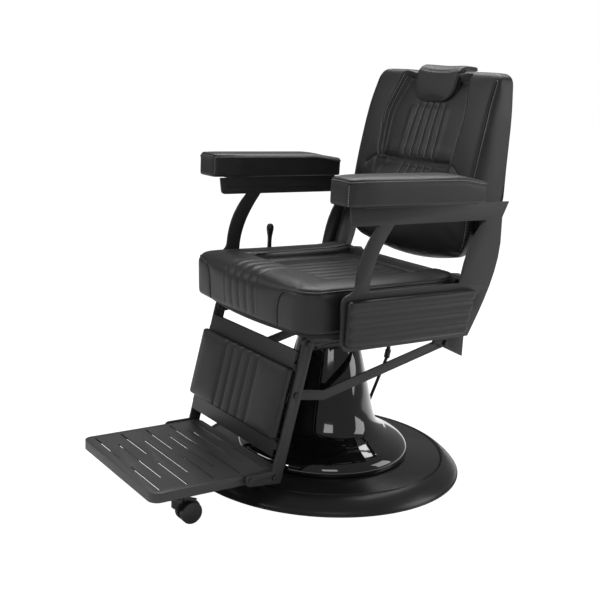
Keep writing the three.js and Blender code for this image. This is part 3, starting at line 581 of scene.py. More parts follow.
@dataclass
class Seam:
    """A line along a pad's skin, in the pad's flat coordinates.

    The line is sunk by depth within width, and may carry a cord of piping and rows of stitches.
    """

    points: list[tuple[float, float, float]]
    depth: float = 2.5
    width: float = 4.0
    piping: float = 0.0
    stitches: tuple[float, ...] = ()
    closed: bool = False

    def flat(self, pitch: float = 2.0) -> np.ndarray:
        """Points along the seam about pitch apart, in flat coordinates."""
        corners = self.points + self.points[:1] if self.closed else self.points
        made = []
        for a, b in zip(corners, corners[1:]):
            start, end = np.array(a, float), np.array(b, float)
            count = max(1, int(np.linalg.norm(end - start) / pitch))
            made.append(start + (end - start) * np.linspace(0, 1, count, endpoint=False)[:, None])
        if not self.closed:
            made.append(np.array([corners[-1]], float))
        return np.concatenate(made)


@dataclass
class Pad:
    """A stuffed, sewn piece: a rounded block, puffed by cloth, then sunk along its seams.

    Flat coordinates are millimetres: across, along and up through the pad, before it is bent to
    its place.
    """

    name: str
    node: str
    low: tuple[float, float, float]
    high: tuple[float, float, float]
    corner: float = 30.0
    edge: float = 18.0
    under_edge: float = 6.0
    pitch: float = 8.0
    levels: int = 1
    fill: float = 0.7
    puff: float = 4.0
    pressure: float = 4.0
    held_to: float = 0.0  # the board under the pad holds the skin up to this height
    seams: list[Seam] = field(default_factory=list)

    def place(self, flat: np.ndarray) -> np.ndarray:
        """Bends flat points to where the pad sits, in mm of the chair's frame."""
        return flat

    def relief(self, flat: np.ndarray) -> np.ndarray:
        """Height in mm to add along the skin's normal, from flat coordinates."""
        return np.zeros(len(flat))

    def rounded(self, raw: np.ndarray) -> np.ndarray:
        """The block with its corners and edges rounded, in flat coordinates."""
        low, high = np.array(self.low), np.array(self.high)
        core = np.clip(raw[:, :2], low[:2] + self.corner, high[:2] - self.corner)
        arm = raw[:, :2] - core
        reach = np.abs(arm).max(1)
        length = np.maximum(np.linalg.norm(arm, axis=1), 1e-9)
        depth = self.corner - reach
        made = raw.copy()
        height = raw[:, 2].copy()
        for radius, top, sign in ((self.edge, high[2], 1), (self.under_edge, low[2], -1)):
            rim_z = top - sign * radius
            near = (sign * (height - rim_z) > 0) & (depth < radius)
            across = np.where(near, radius - depth, 0.0)
            up = np.where(near, np.abs(height - rim_z), 0.0)
            far = np.maximum(np.maximum(across, up), 1e-9)
            size = np.maximum(np.hypot(across, up), 1e-9)
            depth = np.where(near, radius - across * far / size, depth)
            height = np.where(near, rim_z + sign * up * far / size, height)
        made[:, :2] = core + arm / length[:, None] * np.where(reach > 0, self.corner - depth, 0)[:, None]
        made[:, 2] = height
        return made

    def to_frame(self, raw: np.ndarray) -> np.ndarray:
        """Points on the raw block as they sit on the chair, in metres."""
        return self.place(self.rounded(raw)) * MM

    def build(self) -> bpy.types.Object:
        """Makes the pad with its seams, piping and stitches, and puts it on its body."""
        low, high = self.low, self.high
        axes = [stations(low[axis], high[axis], self.pitch) for axis in range(3)]
        raw, quads = gridded_box(*axes)
        piece = Bench.from_points(self.name, self.to_frame(raw), quads)
        self.remember(piece, raw)
        seam_lines = [self.to_frame(seam.flat()) for seam in self.seams]
        self.inflate(piece, raw, seam_lines)
        if self.levels:
            finer = piece.modifiers.new("finer", "SUBSURF")
            finer.levels = finer.render_levels = self.levels
            Bench.apply_all(piece)
        seam_lines = self.sink(piece, seam_lines)
        piece.data.shade_smooth()
        Bench.fit(piece, Finish.LEATHER, self.node)
        self.trim(piece, seam_lines)
        return piece

    @staticmethod
    def remember(piece: bpy.types.Object, raw: np.ndarray) -> None:
        """Keeps each point's raw place on the mesh, so that finer points know theirs."""
        kept = piece.data.attributes.new("flat_place", "FLOAT_VECTOR", "POINT")
        kept.data.foreach_set("vector", raw.astype(np.float32).ravel())

    @staticmethod
    def recall(piece: bpy.types.Object) -> np.ndarray:
        """Each point's raw place."""
        values = np.zeros(len(piece.data.vertices) * 3, np.float32)
        piece.data.attributes["flat_place"].data.foreach_get("vector", values)
        return values.reshape(-1, 3).astype(float)

    @staticmethod
    def points_of(piece: bpy.types.Object, kind: str = "co") -> np.ndarray:
        """Every vertex's place, or its normal."""
        values = np.zeros(len(piece.data.vertices) * 3, np.float32)
        piece.data.vertices.foreach_get(kind, values)
        return values.reshape(-1, 3).astype(float)

    @staticmethod
    def distances(points: np.ndarray, line: np.ndarray) -> np.ndarray:
        """How far each point is from a line of points."""
        tree = KDTree(len(line))
        for index, at in enumerate(line):
            tree.insert(at, index)
        tree.balance()
        return np.array([tree.find(at)[2] for at in points])

    def inflate(self, piece: bpy.types.Object, raw: np.ndarray, lines: list[np.ndarray]) -> None:
        """Blows the skin up a little by cloth simulation, held at its board and its seams."""
        rest = self.points_of(piece)
        hold = (raw[:, 2] < self.held_to).astype(float)
        for line in lines:
            hold = np.maximum(hold, self.distances(rest, line) < self.pitch * 0.8 * MM)
        group = piece.vertex_groups.new(name="held")
        group.add([int(i) for i in np.nonzero(hold)[0]], 1.0, "REPLACE")
        cloth = piece.modifiers.new("stuffing", "CLOTH")
        settings = cloth.settings
        for key, value in STUFFING.items():
            setattr(settings, key, value)
        settings.uniform_pressure_force = self.pressure
        settings.effector_weights.gravity = 0
        settings.vertex_group_mass = "held"
        cloth.collision_settings.use_collision = False
        scene = bpy.context.scene
        scene.frame_start, scene.frame_end = 1, 20
        for step in range(1, SETTLING_FRAMES + 1):
            scene.frame_set(step)
        Bench.apply_all(piece)
        scene.frame_set(1)
        moved = self.points_of(piece) - rest
        size = np.maximum(np.linalg.norm(moved, axis=1), 1e-9)
        most = self.puff * MM
        kept = moved * (most * np.tanh(size / most) / size)[:, None]
        piece.data.vertices.foreach_set("co", (rest + kept).astype(np.float32).ravel())
        piece.data.update()
        piece.vertex_groups.clear()

    def sink(self, piece: bpy.types.Object, lines: list[np.ndarray]) -> list[np.ndarray]:
        """Adds the sewn relief and sinks the skin along every seam.

        Args:
            piece: The pad.
            lines: The seams on its skin, in metres.

        Returns:
            The seams as they lie on the sunk skin.
        """
        raw = self.recall(piece)
        points, normals = self.points_of(piece), self.points_of(piece, "normal")
        height = self.relief(raw)
        for seam, line in zip(self.seams, lines):
            away = self.distances(points, line) / MM
            height = height - seam.depth * np.exp(-((away / seam.width) ** 2))
        made = points + normals * (height * MM)[:, None]
        polygons = [list(p.vertices) for p in piece.data.polygons]
        skin = BVHTree.FromPolygons(points.tolist(), polygons)
        piece.data.vertices.foreach_set("co", made.astype(np.float32).ravel())
        piece.data.update()
        return [self.carried(skin, polygons, points, made - points, line) for line in lines]

    @staticmethod
    def carried(
        skin: BVHTree, polygons: list[list[int]], points: np.ndarray, shift: np.ndarray, line: np.ndarray
    ) -> np.ndarray:
        """A line on the skin, moved as the skin beneath it moved."""
        made = []
        for at in line:
            near, _, face, _ = skin.find_nearest(Vector(at))
            corners = polygons[face]
            share = 1 / (np.linalg.norm(points[corners] - np.array(near), axis=1) + 1e-6)
            made.append(np.array(near) + share @ shift[corners] / share.sum())
        return np.array(made)

    def trim(self, piece: bpy.types.Object, lines: list[np.ndarray]) -> None:
        """Lays piping and stitches on the finished skin, each joined into one piece."""
        skin = BVHTree.FromPolygons(
            [v.co for v in piece.data.vertices], [list(p.vertices) for p in piece.data.polygons]
        )
        cords, threads = [], []
        for seam, line in zip(self.seams, lines):
            if seam.piping:
                on_skin = laid_on(skin, line, seam.piping * 0.35)
                cords.append(tube(on_skin, seam.piping, seam.closed))
            # Stitch rows in the pale thread finish, which also serve as painted highlight lines along the
            # seams.
            for offset in seam.stitches:
                threads.append(stitch_row(skin, line, offset))
        for kind, parts, finish in (
            ("piping", cords, Finish.PIPING), ("stitches", threads, Finish.THREAD),
        ):
            if not parts:
                continue
            made = merged(f"{self.name}_{kind}", parts)
            made.data.shade_smooth()
            Bench.fit(made, finish, self.node, stands_in=False)


def smoothed(line: np.ndarray, times: int) -> np.ndarray:
    """A line with its wobbles averaged out, times over; its ends stay where they are."""
    made = line.copy()
    for _ in range(times):
        made[1:-1] = (made[:-2] + 2 * made[1:-1] + made[2:]) / 4
    return made


def laid_on(skin: BVHTree, line: np.ndarray, lift: float) -> np.ndarray:
    """Points of a line moved onto a skin, lift mm above it."""
    made = []
    for at in line:
        near, normal, _, _ = skin.find_nearest(Vector(at))
        made.append(near + normal * lift * MM)
    return smoothed(np.array(made), 2)


def tube(line: np.ndarray, radius: float, closed: bool, sides: int = 8) -> tuple[np.ndarray, np.ndarray]:
    """A round cord along a line.

    Args:
        line: The cord's middle, in metres.
        radius: Half its thickness, in mm.
        closed: True if the ends meet.
        sides: Faces round it.

    Returns:
        Points and faces.
    """
    count = len(line)
    after = np.roll(line, -1, 0) if closed else np.vstack([line[1:], 2 * line[-1] - line[-2]])
    before = np.roll(line, 1, 0) if closed else np.vstack([2 * line[0] - line[1], line[:-1]])
    ahead = after - before
    ahead /= np.maximum(np.linalg.norm(ahead, axis=1), 1e-12)[:, None]
    side = np.cross(ahead[0], ASKEW)
    rings = []
    for at, along in zip(line, ahead):
        side = side - along * (side @ along)
        side /= np.linalg.norm(side)
        up = np.cross(along, side)
        turns = np.linspace(0, 2 * np.pi, sides, endpoint=False)[:, None]
        rings.append(at + (np.cos(turns) * side + np.sin(turns) * up) * radius * MM)
    points = np.concatenate(rings)
    faces = []
    for ring in range(count if closed else count - 1):
        following = (ring + 1) % count
        for k in range(sides):
            j = (k + 1) % sides
            a, b = ring * sides + k, ring * sides + j
            faces.append((a, b, following * sides + j, following * sides + k))
    if not closed:
        first = len(points)
        points = np.vstack([points, line[0], line[-1]])
        last_ring = (count - 1) * sides
        for k in range(sides):
            j = (k + 1) % sides
            faces.append((first, j, k, k))
            faces.append((first + 1, last_ring + k, last_ring + j, last_ring + j))
    return points, np.array(faces)


# Thick enough that each pale stitch row also reads as a painted highlight line along its channel.
THREAD_RADIUS = 0.55
THREAD_LIFT = 0.3
STITCH_STEPS = 3
ASKEW = (0.31, 0.52, 0.79)  # a direction that no seam runs along


def stitch_row(skin: BVHTree, line: np.ndarray, offset: float) -> tuple[np.ndarray, np.ndarray]:
    """A row of thread stitches beside a seam.

    Args:
        skin: The pad's skin.
        line: The seam, in metres, about 2 mm a step.
        offset: How far to the seam's left the row runs, in mm; 0 is in the seam.

    Returns:
        Points and faces of all the stitches.
    """
    shifted = []
    for index, at in enumerate(line):
        near, normal, _, _ = skin.find_nearest(Vector(at))
        ahead = Vector(line[min(index + 1, len(line) - 1)] - line[max(index - 1, 0)]).normalized()
        shifted.append(near + normal.cross(ahead) * offset * MM)
    run = smoothed(np.array(shifted), 30)
    lifted = smoothed(laid_on(skin, run, THREAD_LIFT), 4)
    points, faces, count = [], [], 0
    for start in range(0, len(lifted) - 2, STITCH_STEPS):
        made, quads = tube(lifted[start : start + STITCH_STEPS], THREAD_RADIUS, False, 5)
        points.append(made)
        faces.append(quads + count)
        count += len(made)
    return np.concatenate(points), np.concatenate(faces)


def merged(name: str, parts: list[tuple[np.ndarray, np.ndarray]]) -> bpy.types.Object:
    """One mesh object from several lots of points and faces; a doubled corner makes a triangle."""
    points, faces, count = [], [], 0
    for part_points, part_faces in parts:
        points.append(part_points)
        for face in part_faces.tolist():
            corners = list(dict.fromkeys(face))
            faces.append([corner + count for corner in corners])
        count += len(part_points)
    mesh = bpy.data.meshes.new(name)
    mesh.from_pydata(np.concatenate(points).tolist(), [], faces)
    mesh.validate()
    piece = Bench.placed(name, mesh)
    Bench.tidy(piece, 1e-7)
    return piece


def flutes(value: np.ndarray, lines: Sequence[float], height: float, width: float) -> np.ndarray:
    """Sewn channels: the skin dips at each line and swells between them."""
    dip = np.zeros(len(value))
    for line in lines:
        dip -= np.exp(-(((value - line) / width) ** 2))
    return dip * height


@dataclass
class Profile:
    """A smooth curve of one measure against another, through given points."""

    points: list[tuple[float, float]]
    blur: float = 12.0

    def __post_init__(self) -> None:
        """Samples the curve and rounds its corners."""
        at, value = np.array(self.points, float).T
        self.at = np.linspace(at[0], at[-1], 400)
        step = self.at[1] - self.at[0]
        half = max(1, int(3 * self.blur / step))
        window = np.exp(-0.5 * (np.arange(-half, half + 1) * step / self.blur) ** 2)
        sampled = np.interp(self.at, at, value)
        slope_in, slope_out = sampled[1] - sampled[0], sampled[-1] - sampled[-2]
        before = sampled[0] - slope_in * np.arange(half, 0, -1)
        after = sampled[-1] + slope_out * np.arange(1, half + 1)
        longer = np.concatenate([before, sampled, after])
        self.value = np.convolve(longer, window / window.sum(), "valid")

    def __call__(self, at: np.ndarray) -> np.ndarray:
        """The curve's value at each point."""
        return np.interp(at, self.at, self.value)


@dataclass
class SeatPad(Pad):
    """The seat: a full-width front roll, a sunk fluted middle and two side bolsters."""

    name: str = "seat_cushion_look"
    node: str = "seat_cushion"
    low: tuple[float, float, float] = (-254, -264, 416)
    high: tuple[float, float, float] = (254, 204, 522)
    corner: float = 46.0
    edge: float = 24.0
    pitch: float = 8.5
    puff: float = 5.0
    held_to: float = 442.5
    roll_rear: float = -150.0
    bolster_inner: float = 172.0
    middle_sink: float = 25.0
    roll_lines: tuple[float, ...] = (-66, -33, 0, 33, 66)
    middle_lines: tuple[float, ...] = (-85, -51, -17, 17, 51, 85)

    def __post_init__(self) -> None:
        """Draws the seams."""
        front, side, top = self.low[1], self.high[0], self.high[2]
        for sign in (-1, 1):
            arc = [
                (152, front, 417), (151, front, 452), (154, front, 474), (161, front, 490),
                (174, front, 502), (192, front, 509), (216, front, 512), (side, front, 513),
                (side, 0, 514), (side, self.high[1] - 4, 514),
            ]
            self.seams.append(Seam([(sign * x, y, z) for x, y, z in arc], 2.0, 4.0, 2.3))
            bolster = [
                (self.bolster_inner - 4, self.roll_rear, top), (self.bolster_inner, -60, top),
                (self.bolster_inner + 4, self.high[1] - 20, top),
            ]
            self.seams.append(Seam([(sign * x, y, z) for x, y, z in bolster], 4.0, 4.0, 1.8))
            mitre = [(self.bolster_inner - 4, self.roll_rear, top), (112, -96, top)]
            self.seams.append(Seam([(sign * x, y, z) for x, y, z in mitre], 1.8, 4.0))
        rear = [(-self.bolster_inner, self.roll_rear, top), (self.bolster_inner, self.roll_rear, top)]
        self.seams.append(Seam(rear, 5.0, 4.0))

    def place(self, flat: np.ndarray) -> np.ndarray:
        """Bows the front forwards at its middle and lifts the rear edge."""
        made = flat.copy()
        x, y, z = flat.T
        share = np.clip((z - self.low[2]) / (self.high[2] - self.low[2]), 0, 1)
        made[:, 1] = y + 15 * (x / 255) ** 2 * np.clip(-y / 262, 0, 1)
        made[:, 2] = z + share * (6 * ease(y, 110, 200) + 4 * (1 - (x / 255) ** 2) * (1 - ease(y, -160, -90)))
        made[:, 1] += 5 * share * inside(z, 440, 500, 30) * (1 - ease(y, -264, -200)) * -1
        return made

    def relief(self, flat: np.ndarray) -> np.ndarray:
        """The sunk middle and the sewn channels."""
        x, y, z = flat.T
        on_top = z > self.high[2] - 0.5
        front = y < self.low[1] + 0.5
        depth = np.zeros(len(flat))
        edge_in = self.bolster_inner - 12
        middle = inside(x, -edge_in, edge_in, 11) * ease(y, self.roll_rear, self.roll_rear + 14)
        middle *= 1 - ease(y, self.high[1] - 22, self.high[1] - 4)
        depth -= np.where(on_top, middle * self.middle_sink, 0)
        rolled = np.where(on_top, 1 - ease(y, self.roll_rear - 14, self.roll_rear - 2), 0)
        rolled = np.where(front, ease(z, 418, 436), rolled)
        depth += rolled * flutes(x, self.roll_lines, 2.6, 5.0)
        depth += rolled * 1.6 * inside(x, -66, 66, 16)
        sewn = np.where(on_top, ease(y, -108, -88) * (1 - ease(y, 168, 184)), 0)
        depth += sewn * flutes(x, self.middle_lines, 3.4, 5.0)
        return depth


@dataclass
class BackPad(Pad):
    """The back: two wings, a long sunk middle panel with sewn channels, and a lumbar part."""

    name: str = "back_cushion_look"
    node: str = "back_cushion"
    low: tuple[float, float, float] = (-233, 574, 0)
    high: tuple[float, float, float] = (233, 996, 100)
    corner: float = 26.0
    edge: float = 20.0
    under_edge: float = 14.0
    pitch: float = 8.5
    puff: float = 4.0
    fill: float = 0.75
    held_to: float = 30.0
    panel_foot: float = 775.0
    lines: tuple[float, ...] = (-54, -27, 0, 27, 54)
    front: Profile = field(default_factory=lambda: Profile([
        (574, 231), (588, 219), (615, 213), (660, 214), (720, 221), (750, 226), (779, 231),
        (849, 246), (918, 263), (951, 275), (981, 286), (996, 293),
    ]))
    rear: Profile = field(default_factory=lambda: Profile([
        (574, 250), (595, 272), (625, 296), (660, 318), (705, 335), (753, 341), (826, 342),
        (921, 343), (986, 340), (996, 338),
    ]))
    half_panel: Profile = field(default_factory=lambda: Profile([
        (574, 150), (700, 140), (775, 131), (892, 143), (966, 126), (996, 122),
    ]))
    sunk: Profile = field(default_factory=lambda: Profile([
        (574, 0), (640, 0), (690, 3), (730, 8), (758, 17), (776, 17), (800, 16), (850, 17),
        (918, 21), (951, 24), (985, 25), (996, 22),
    ], 7.0))

    def __post_init__(self) -> None:
        """Draws the seams."""
        foot, top = self.panel_foot, self.high[2]
        for sign in (-1, 1):
            heights = (foot, 815, 855, 895, 930, 966, 994)
            side = [(sign * float(self.half_panel(np.array([z]))[0]), z, top) for z in heights]
            self.seams.append(Seam(side, 3.4, 4.0, 0.0, (-6.0 * sign, -16.0 * sign)))
            crease = [(sign * 131, foot, top), (sign * 152, foot - 9, top), (sign * 176, foot - 26, top)]
            self.seams.append(Seam(crease, 3.0, 4.5, 0.0, (2.4,)))
            edge = [(sign * (self.high[0] - 7), z, top) for z in (592, 700, 800, 900, 980)]
            self.seams.append(Seam(edge, 1.6, 3.0, 1.9, (-4.4 * sign,)))
        self.seams.append(Seam([(-131, foot, top), (0, foot - 2, top), (131, foot, top)], 6.0, 5.0))
        for x in self.lines:
            lean = 1 + 0.012 * (1 - (x / 60) ** 2)
            channel = [(x * 1.03, foot + 9, top), (x * 0.98, 850, top), (x * 0.91, 912 * lean, top)]
            self.seams.append(Seam(channel, 2.6, 4.6, 0.0, (0.0,)))
            low_part = [(x * 1.03, foot - 16, top), (x * 1.05, 705, top)]
            self.seams.append(Seam(low_part, 1.4, 4.0, 0.0, (0.0,)))

    def place(self, flat: np.ndarray) -> np.ndarray:
        """Turns the block upright between the back's front and rear curves."""
        x, z, w = flat.T
        share = w / 100
        rear, front = self.rear(z), self.front(z)
        y = rear + (front - rear) * share
        taper = 6 * ease(z, 860, 996) * np.abs(x) / 233 * np.sign(x)
        dip = 5 * inside(x, -80, 80, 30) * ease(z, 975, 996)
        tuck = 1 - 0.08 * (1 - ease(z, 574, 640)) ** 2
        belly = (20 + 26 * np.clip(1 - (x / 218) ** 2, 0, 1)) * (1 - ease(z, 574, 668))
        return np.stack([(x - taper) * tuck, y, z - dip - belly], 1)

    def relief(self, flat: np.ndarray) -> np.ndarray:
        """The sunk panel, its overhanging foot and the swell between the channels."""
        x, z, w = flat.T
        facing = w > self.high[2] - 0.5
        half = self.half_panel(z)
        depth = -self.sunk(z) * ease(-np.abs(x), -half - 12, -half + 8)
        foot_roll = 2.5 * inside(z, self.panel_foot + 10, self.panel_foot + 24, 22) * inside(x, -112, 112, 18)
        under = -5 * inside(z, self.panel_foot - 16, self.panel_foot - 4, 14) * inside(x, -118, 118, 14)
        swell = 1.8 * inside(x, -66, 66, 14) * inside(z, self.panel_foot, 905, 10)
        return np.where(facing, depth + foot_roll + under + swell, 0)


@dataclass
class BackBoardPad(Pad):
    """The upholstered panel over the rear of the back."""

    name: str = "back_board_look"
    node: str = "back_board"
    low: tuple[float, float, float] = (-214, 668, 0)
    high: tuple[float, float, float] = (214, 958, 12)
    corner: float = 32.0
    edge: float = 7.0
    under_edge: float = 1.0
    pitch: float = 9.0
    puff: float = 4.0
    held_to: float = 8.0

    def __post_init__(self) -> None:
        """Draws the rim's welt and the stitched inset."""
        rim = [(-214, 690, 5), (-214, 936, 5), (-214, 958, 5), (214, 958, 5), (214, 668, 5), (-214, 668, 5)]
        self.seams.append(Seam(rim, 0.6, 3.0, 1.9, (), True))
        inset = [(-186, 696, 12), (-186, 930, 12), (186, 930, 12), (186, 696, 12)]
        self.seams.append(Seam(inset, 1.8, 4.0, 0.0, (0.0,), True))

    def place(self, flat: np.ndarray) -> np.ndarray:
        """Stands the panel against the rear of the back."""
        x, z, w = flat.T
        dome = 3.5 * (1 - (x / 214) ** 2) * (1 - ((z - 813) / 145) ** 2)
        return np.stack([x, 344.4 + w + np.where(w > 1, dome, 0), z], 1)


@dataclass
class HeadrestPad(Pad):
    """A shield of leather that lies on the back's top and folds over it."""

    name: str = "headrest_cushion_look"
    node: str = "headrest_cushion"
    low: tuple[float, float, float] = (-77, 0, 0)
    high: tuple[float, float, float] = (77, 150, 20)
    corner: float = 9.0
    edge: float = 8.0
    under_edge: float = 3.0
    pitch: float = 4.5
    puff: float = 3.5
    held_to: float = 5.0
    lean: float = math.radians(16)
    bend_at: float = 84.0
    bend_radius: float = 9.0
    foot: tuple[float, float] = (294.0, 915.6)

    def __post_init__(self) -> None:
        """Draws the welt round the shield's rim and the seam at the fold."""
        rim = [(-77, 4, 6), (-77, 40, 6), (-77, 150, 6), (77, 150, 6), (77, 0, 6), (-77, 0, 6)]
        self.seams.append(Seam(rim, 1.0, 2.5, 1.6, (), True))
        self.seams.append(Seam([(-72, 86, 20), (0, 82, 20), (72, 86, 20)], 1.2, 3.0, 0.0, (0.0,)))

    def place(self, flat: np.ndarray) -> np.ndarray:
        """Bends the strip up the slope of the back and over its top."""
        x, s, w = flat.T
        bottom = np.clip(s / 46, 0, 1)
        narrow = 0.42 + 0.58 * np.sqrt(np.clip(1 - (1 - bottom) ** 2.1, 0, 1))
        narrow = narrow * (1 + 0.04 * inside(s, 70, 92, 20)) * (1 - 0.22 * ease(s, 96, 150))
        lift = np.clip(s, 0, self.bend_at)
        over = np.clip(s - self.bend_at, 0, None)
        radius = self.bend_radius
        turn = (math.pi / 2 - self.lean) * np.clip(over / (radius * 1.3), 0, 1)
        past = np.clip(over - radius * 1.3, 0, None)
        base_y = self.foot[0] + lift * math.sin(self.lean)
        base_z = self.foot[1] + lift * math.cos(self.lean)
        heading = self.lean + turn
        base_y += radius * (np.cos(self.lean) - np.cos(heading)) + past * np.sin(heading)
        base_z += radius * (np.sin(heading) - np.sin(self.lean)) + past * np.cos(heading)
        thick = w * (1 - 0.42 * ease(s, 78, 104)) * (1 - 0.2 * (1 - bottom))
        y = base_y - thick * np.cos(heading)
        z = base_z + thick * np.sin(heading)
        dip = 4.0 * (1 - (x / 77) ** 2) * ease(s, 60, 90)
        return np.stack([x * narrow, y, z - dip - 4.5 * ease(s, 70, 92)], 1)


@dataclass
class ArmPad(Pad):
    """A boxed arm pad with a welt below its top and a seam up each front corner."""

    side: int = 1
    corner: float = 15.0
    edge: float = 9.0
    under_edge: float = 4.0
    pitch: float = 6.5
    puff: float = 2.6
    fill: float = 0.9
    held_to: float = 720.475
    middle: float = 282.5

    @classmethod
    def on(cls, label: str, side: int) -> "ArmPad":
        """The pad of one side."""
        pad = cls(
            f"arm_pad_{label}_look", f"arm_pad_{label}",
            (-43.5, -207, 705.3), (43.5, 192, 766), side=side,
        )
        low, high = pad.low, pad.high
        welt = high[2] - 11
        around = [
            (low[0], low[1] + 30, welt), (low[0], high[1], welt), (high[0], high[1], welt),
            (high[0], low[1], welt), (low[0], low[1], welt),
        ]
        pad.seams.append(Seam(around, 1.5, 3.0, 1.5, (-4.0,), True))
        for x in (low[0], high[0]):
            pad.seams.append(Seam([(x, low[1], 707), (x, low[1], welt)], 1.0, 2.6, 0.0, (2.6,)))
        return pad

    def place(self, flat: np.ndarray) -> np.ndarray:
        """Narrows the front, slopes the rear of the top and puts the pad over its rail."""
        x, y, z = flat.T
        share = (z - self.low[2]) / (self.high[2] - self.low[2])
        narrow = 1 - 0.13 * (1 - ease(y, -207, -120)) - 0.05 * ease(y, 110, 192)
        crown = 2.0 * (1 - (x / 43.5) ** 2) * share
        slope = 13 * ease(y, 96, 192) * share
        across = self.side * (x * narrow + self.middle + 2.0 * (1 - ease(y, -207, -100)))
        nose = 2.5 * share * (1 - ease(y, -207, -170))
        return np.stack([across, y, z + crown - slope - nose], 1)


@dataclass
class SidePad(Pad):
    """The fluted pad on the outside of a side plate."""

    side: int = 1
    corner: float = 9.0
    edge: float = 7.0
    under_edge: float = 1.5
    pitch: float = 5.5
    puff: float = 3.4
    fill: float = 0.8
    held_to: float = 9.0
    face: float = 281.4

    @classmethod
    def on(cls, label: str, side: int) -> "SidePad":
        """The pad of one side."""
        pad = cls(
            f"side_pad_{label}_look", f"side_pad_{label}",
            (-167, 391, 0), (209, 496, 17.5), side=side,
        )
        for z in (417, 443.5, 470):
            pad.seams.append(Seam([(-160, z, 17.5), (203, z, 17.5)], 3.6, 4.4))
        return pad

    def place(self, flat: np.ndarray) -> np.ndarray:
        """Stands the pad against the side plate, with its rear end raked."""
        y, z, w = flat.T
        rake = 24 * (1 - (z - 391) / 105) * (y + 167) / 376
        return np.stack([self.side * (self.face + w), y - rake, z], 1)


@dataclass
class CalfPad(Pad):
    """The pad on the leg rest, with upright channels in its middle."""

    name: str = "calf_pad_look"
    node: str = "calf_pad"
    low: tuple[float, float, float] = (-194, 61, 21)
    high: tuple[float, float, float] = (194, 231, 39)
    corner: float = 8.0
    edge: float = 8.0
    under_edge: float = 1.5
    pitch: float = 6.5
    puff: float = 4.0
    held_to: float = 30.0
    lines: tuple[float, ...] = (-74, -38, -2, 34, 70)
    pivot: tuple[float, float] = (-201, 385)
    lean: float = math.radians(12.7)

    def __post_init__(self) -> None:
        """Draws the channels and the welts at the pad's sides."""
        top = self.high[2]
        for x in self.lines:
            self.seams.append(Seam([(x, 66, top), (x, 226, top)], 3.0, 5.0))
        for x in (self.low[0], self.high[0]):
            self.seams.append(Seam([(x, 66, top - 6), (x, 226, top - 6)], 0.8, 2.6, 1.5))

    def place(self, flat: np.ndarray) -> np.ndarray:
        """Leans the pad against the leg rest's panel."""
        x, down, ahead = flat.T
        y = self.pivot[0] - down * math.sin(self.lean) - ahead * math.cos(self.lean)
        z = self.pivot[1] - down * math.cos(self.lean) + ahead * math.sin(self.lean)
        return np.stack([-x, y, z], 1)


# ------------------------------------------------------------------ steel
@dataclass
class Pedestal:
    """The dished base cover and the gloss bell that stands on it."""

    radius: float = 350.0
    groove: float = 305.0
    deck: float = 38.0
    hole: float = 74.0
    wall: float = 3.0
    steps: int = 160

    def cover(self) -> bpy.types.Object:
        """The base's pressed cover."""
        edge, deck, groove, wall = self.radius, self.deck, self.groove, self.wall
        upper = [
            (self.hole, deck), (groove - 4.5, deck), (groove - 3, deck - 1.2), (groove, deck - 5),
            (groove + 3, deck - 1), (groove + 5.5, deck + 0.4), (groove + 16, deck - 5.4),
            (edge - 16, deck - 15.6), (edge - 6.5, deck - 25), (edge - 3, deck - 30.5), (edge, deck - 33),
            (edge, 2.4), (edge - 1.4, 1),
        ]
        lower = [
            (edge - 4, 1), (edge - 6, deck - 33), (edge - 19, deck - wall - 17),
            (groove + 14, deck - wall - 8), (groove + 4, deck - wall - 4), (groove, deck - wall - 4),
            (groove - 7, deck - wall), (self.hole, deck - wall),
        ]
        sharp = [*upper, *lower, upper[0]]
        curved = Bench.round_corners(sharp, {5: 2.0, 6: 7.0, 7: 7.0, 8: 4.0, 9: 1.5, 10: 1.0}, 4)
        return self.spun("base_cover", curved, Finish.BASE)

    def bell(self) -> bpy.types.Object:
        """The spun bell over the pump."""
        outer = [
            (213, 38.4), (218.6, 43), (219, 51), (215.5, 63), (203, 75), (180, 87), (157, 98),
            (141.5, 109.5), (131, 124), (121, 154), (111, 198), (97, 253), (83.5, 304), (74.5, 336),
            (71.5, 342), (68, 344),
        ]
        mouth, wall = 46.0, self.wall
        inner = [(radius - wall, height) for radius, height in outer[1:-2:2]]
        inner[-1] = (inner[-1][0], 335)
        sharp = [*outer, (mouth, 344), (mouth, 341), (66, 341), *inner[::-1], (210, 38.4), outer[0]]
        reach = {index: 15.0 for index in range(3, 13)}
        reach[1] = reach[2] = 4.0
        curved = Bench.round_corners(sharp, reach, 5)
        return self.spun("pedestal_bell", curved, Finish.BELL)

    def spun(self, node: str, profile: list[tuple[float, float]], finish: Finish) -> bpy.types.Object:
        """Spins and paints a piece that stands for its CAD node."""
        piece = Bench.turned(f"{node}_look", profile, self.steps)
        Bench.smooth(piece, 40)
        Bench.fit(piece, finish, node)
        return piece

    def build(self) -> list[bpy.types.Object]:
        """Makes both pieces."""
        return [self.cover(), self.bell()]


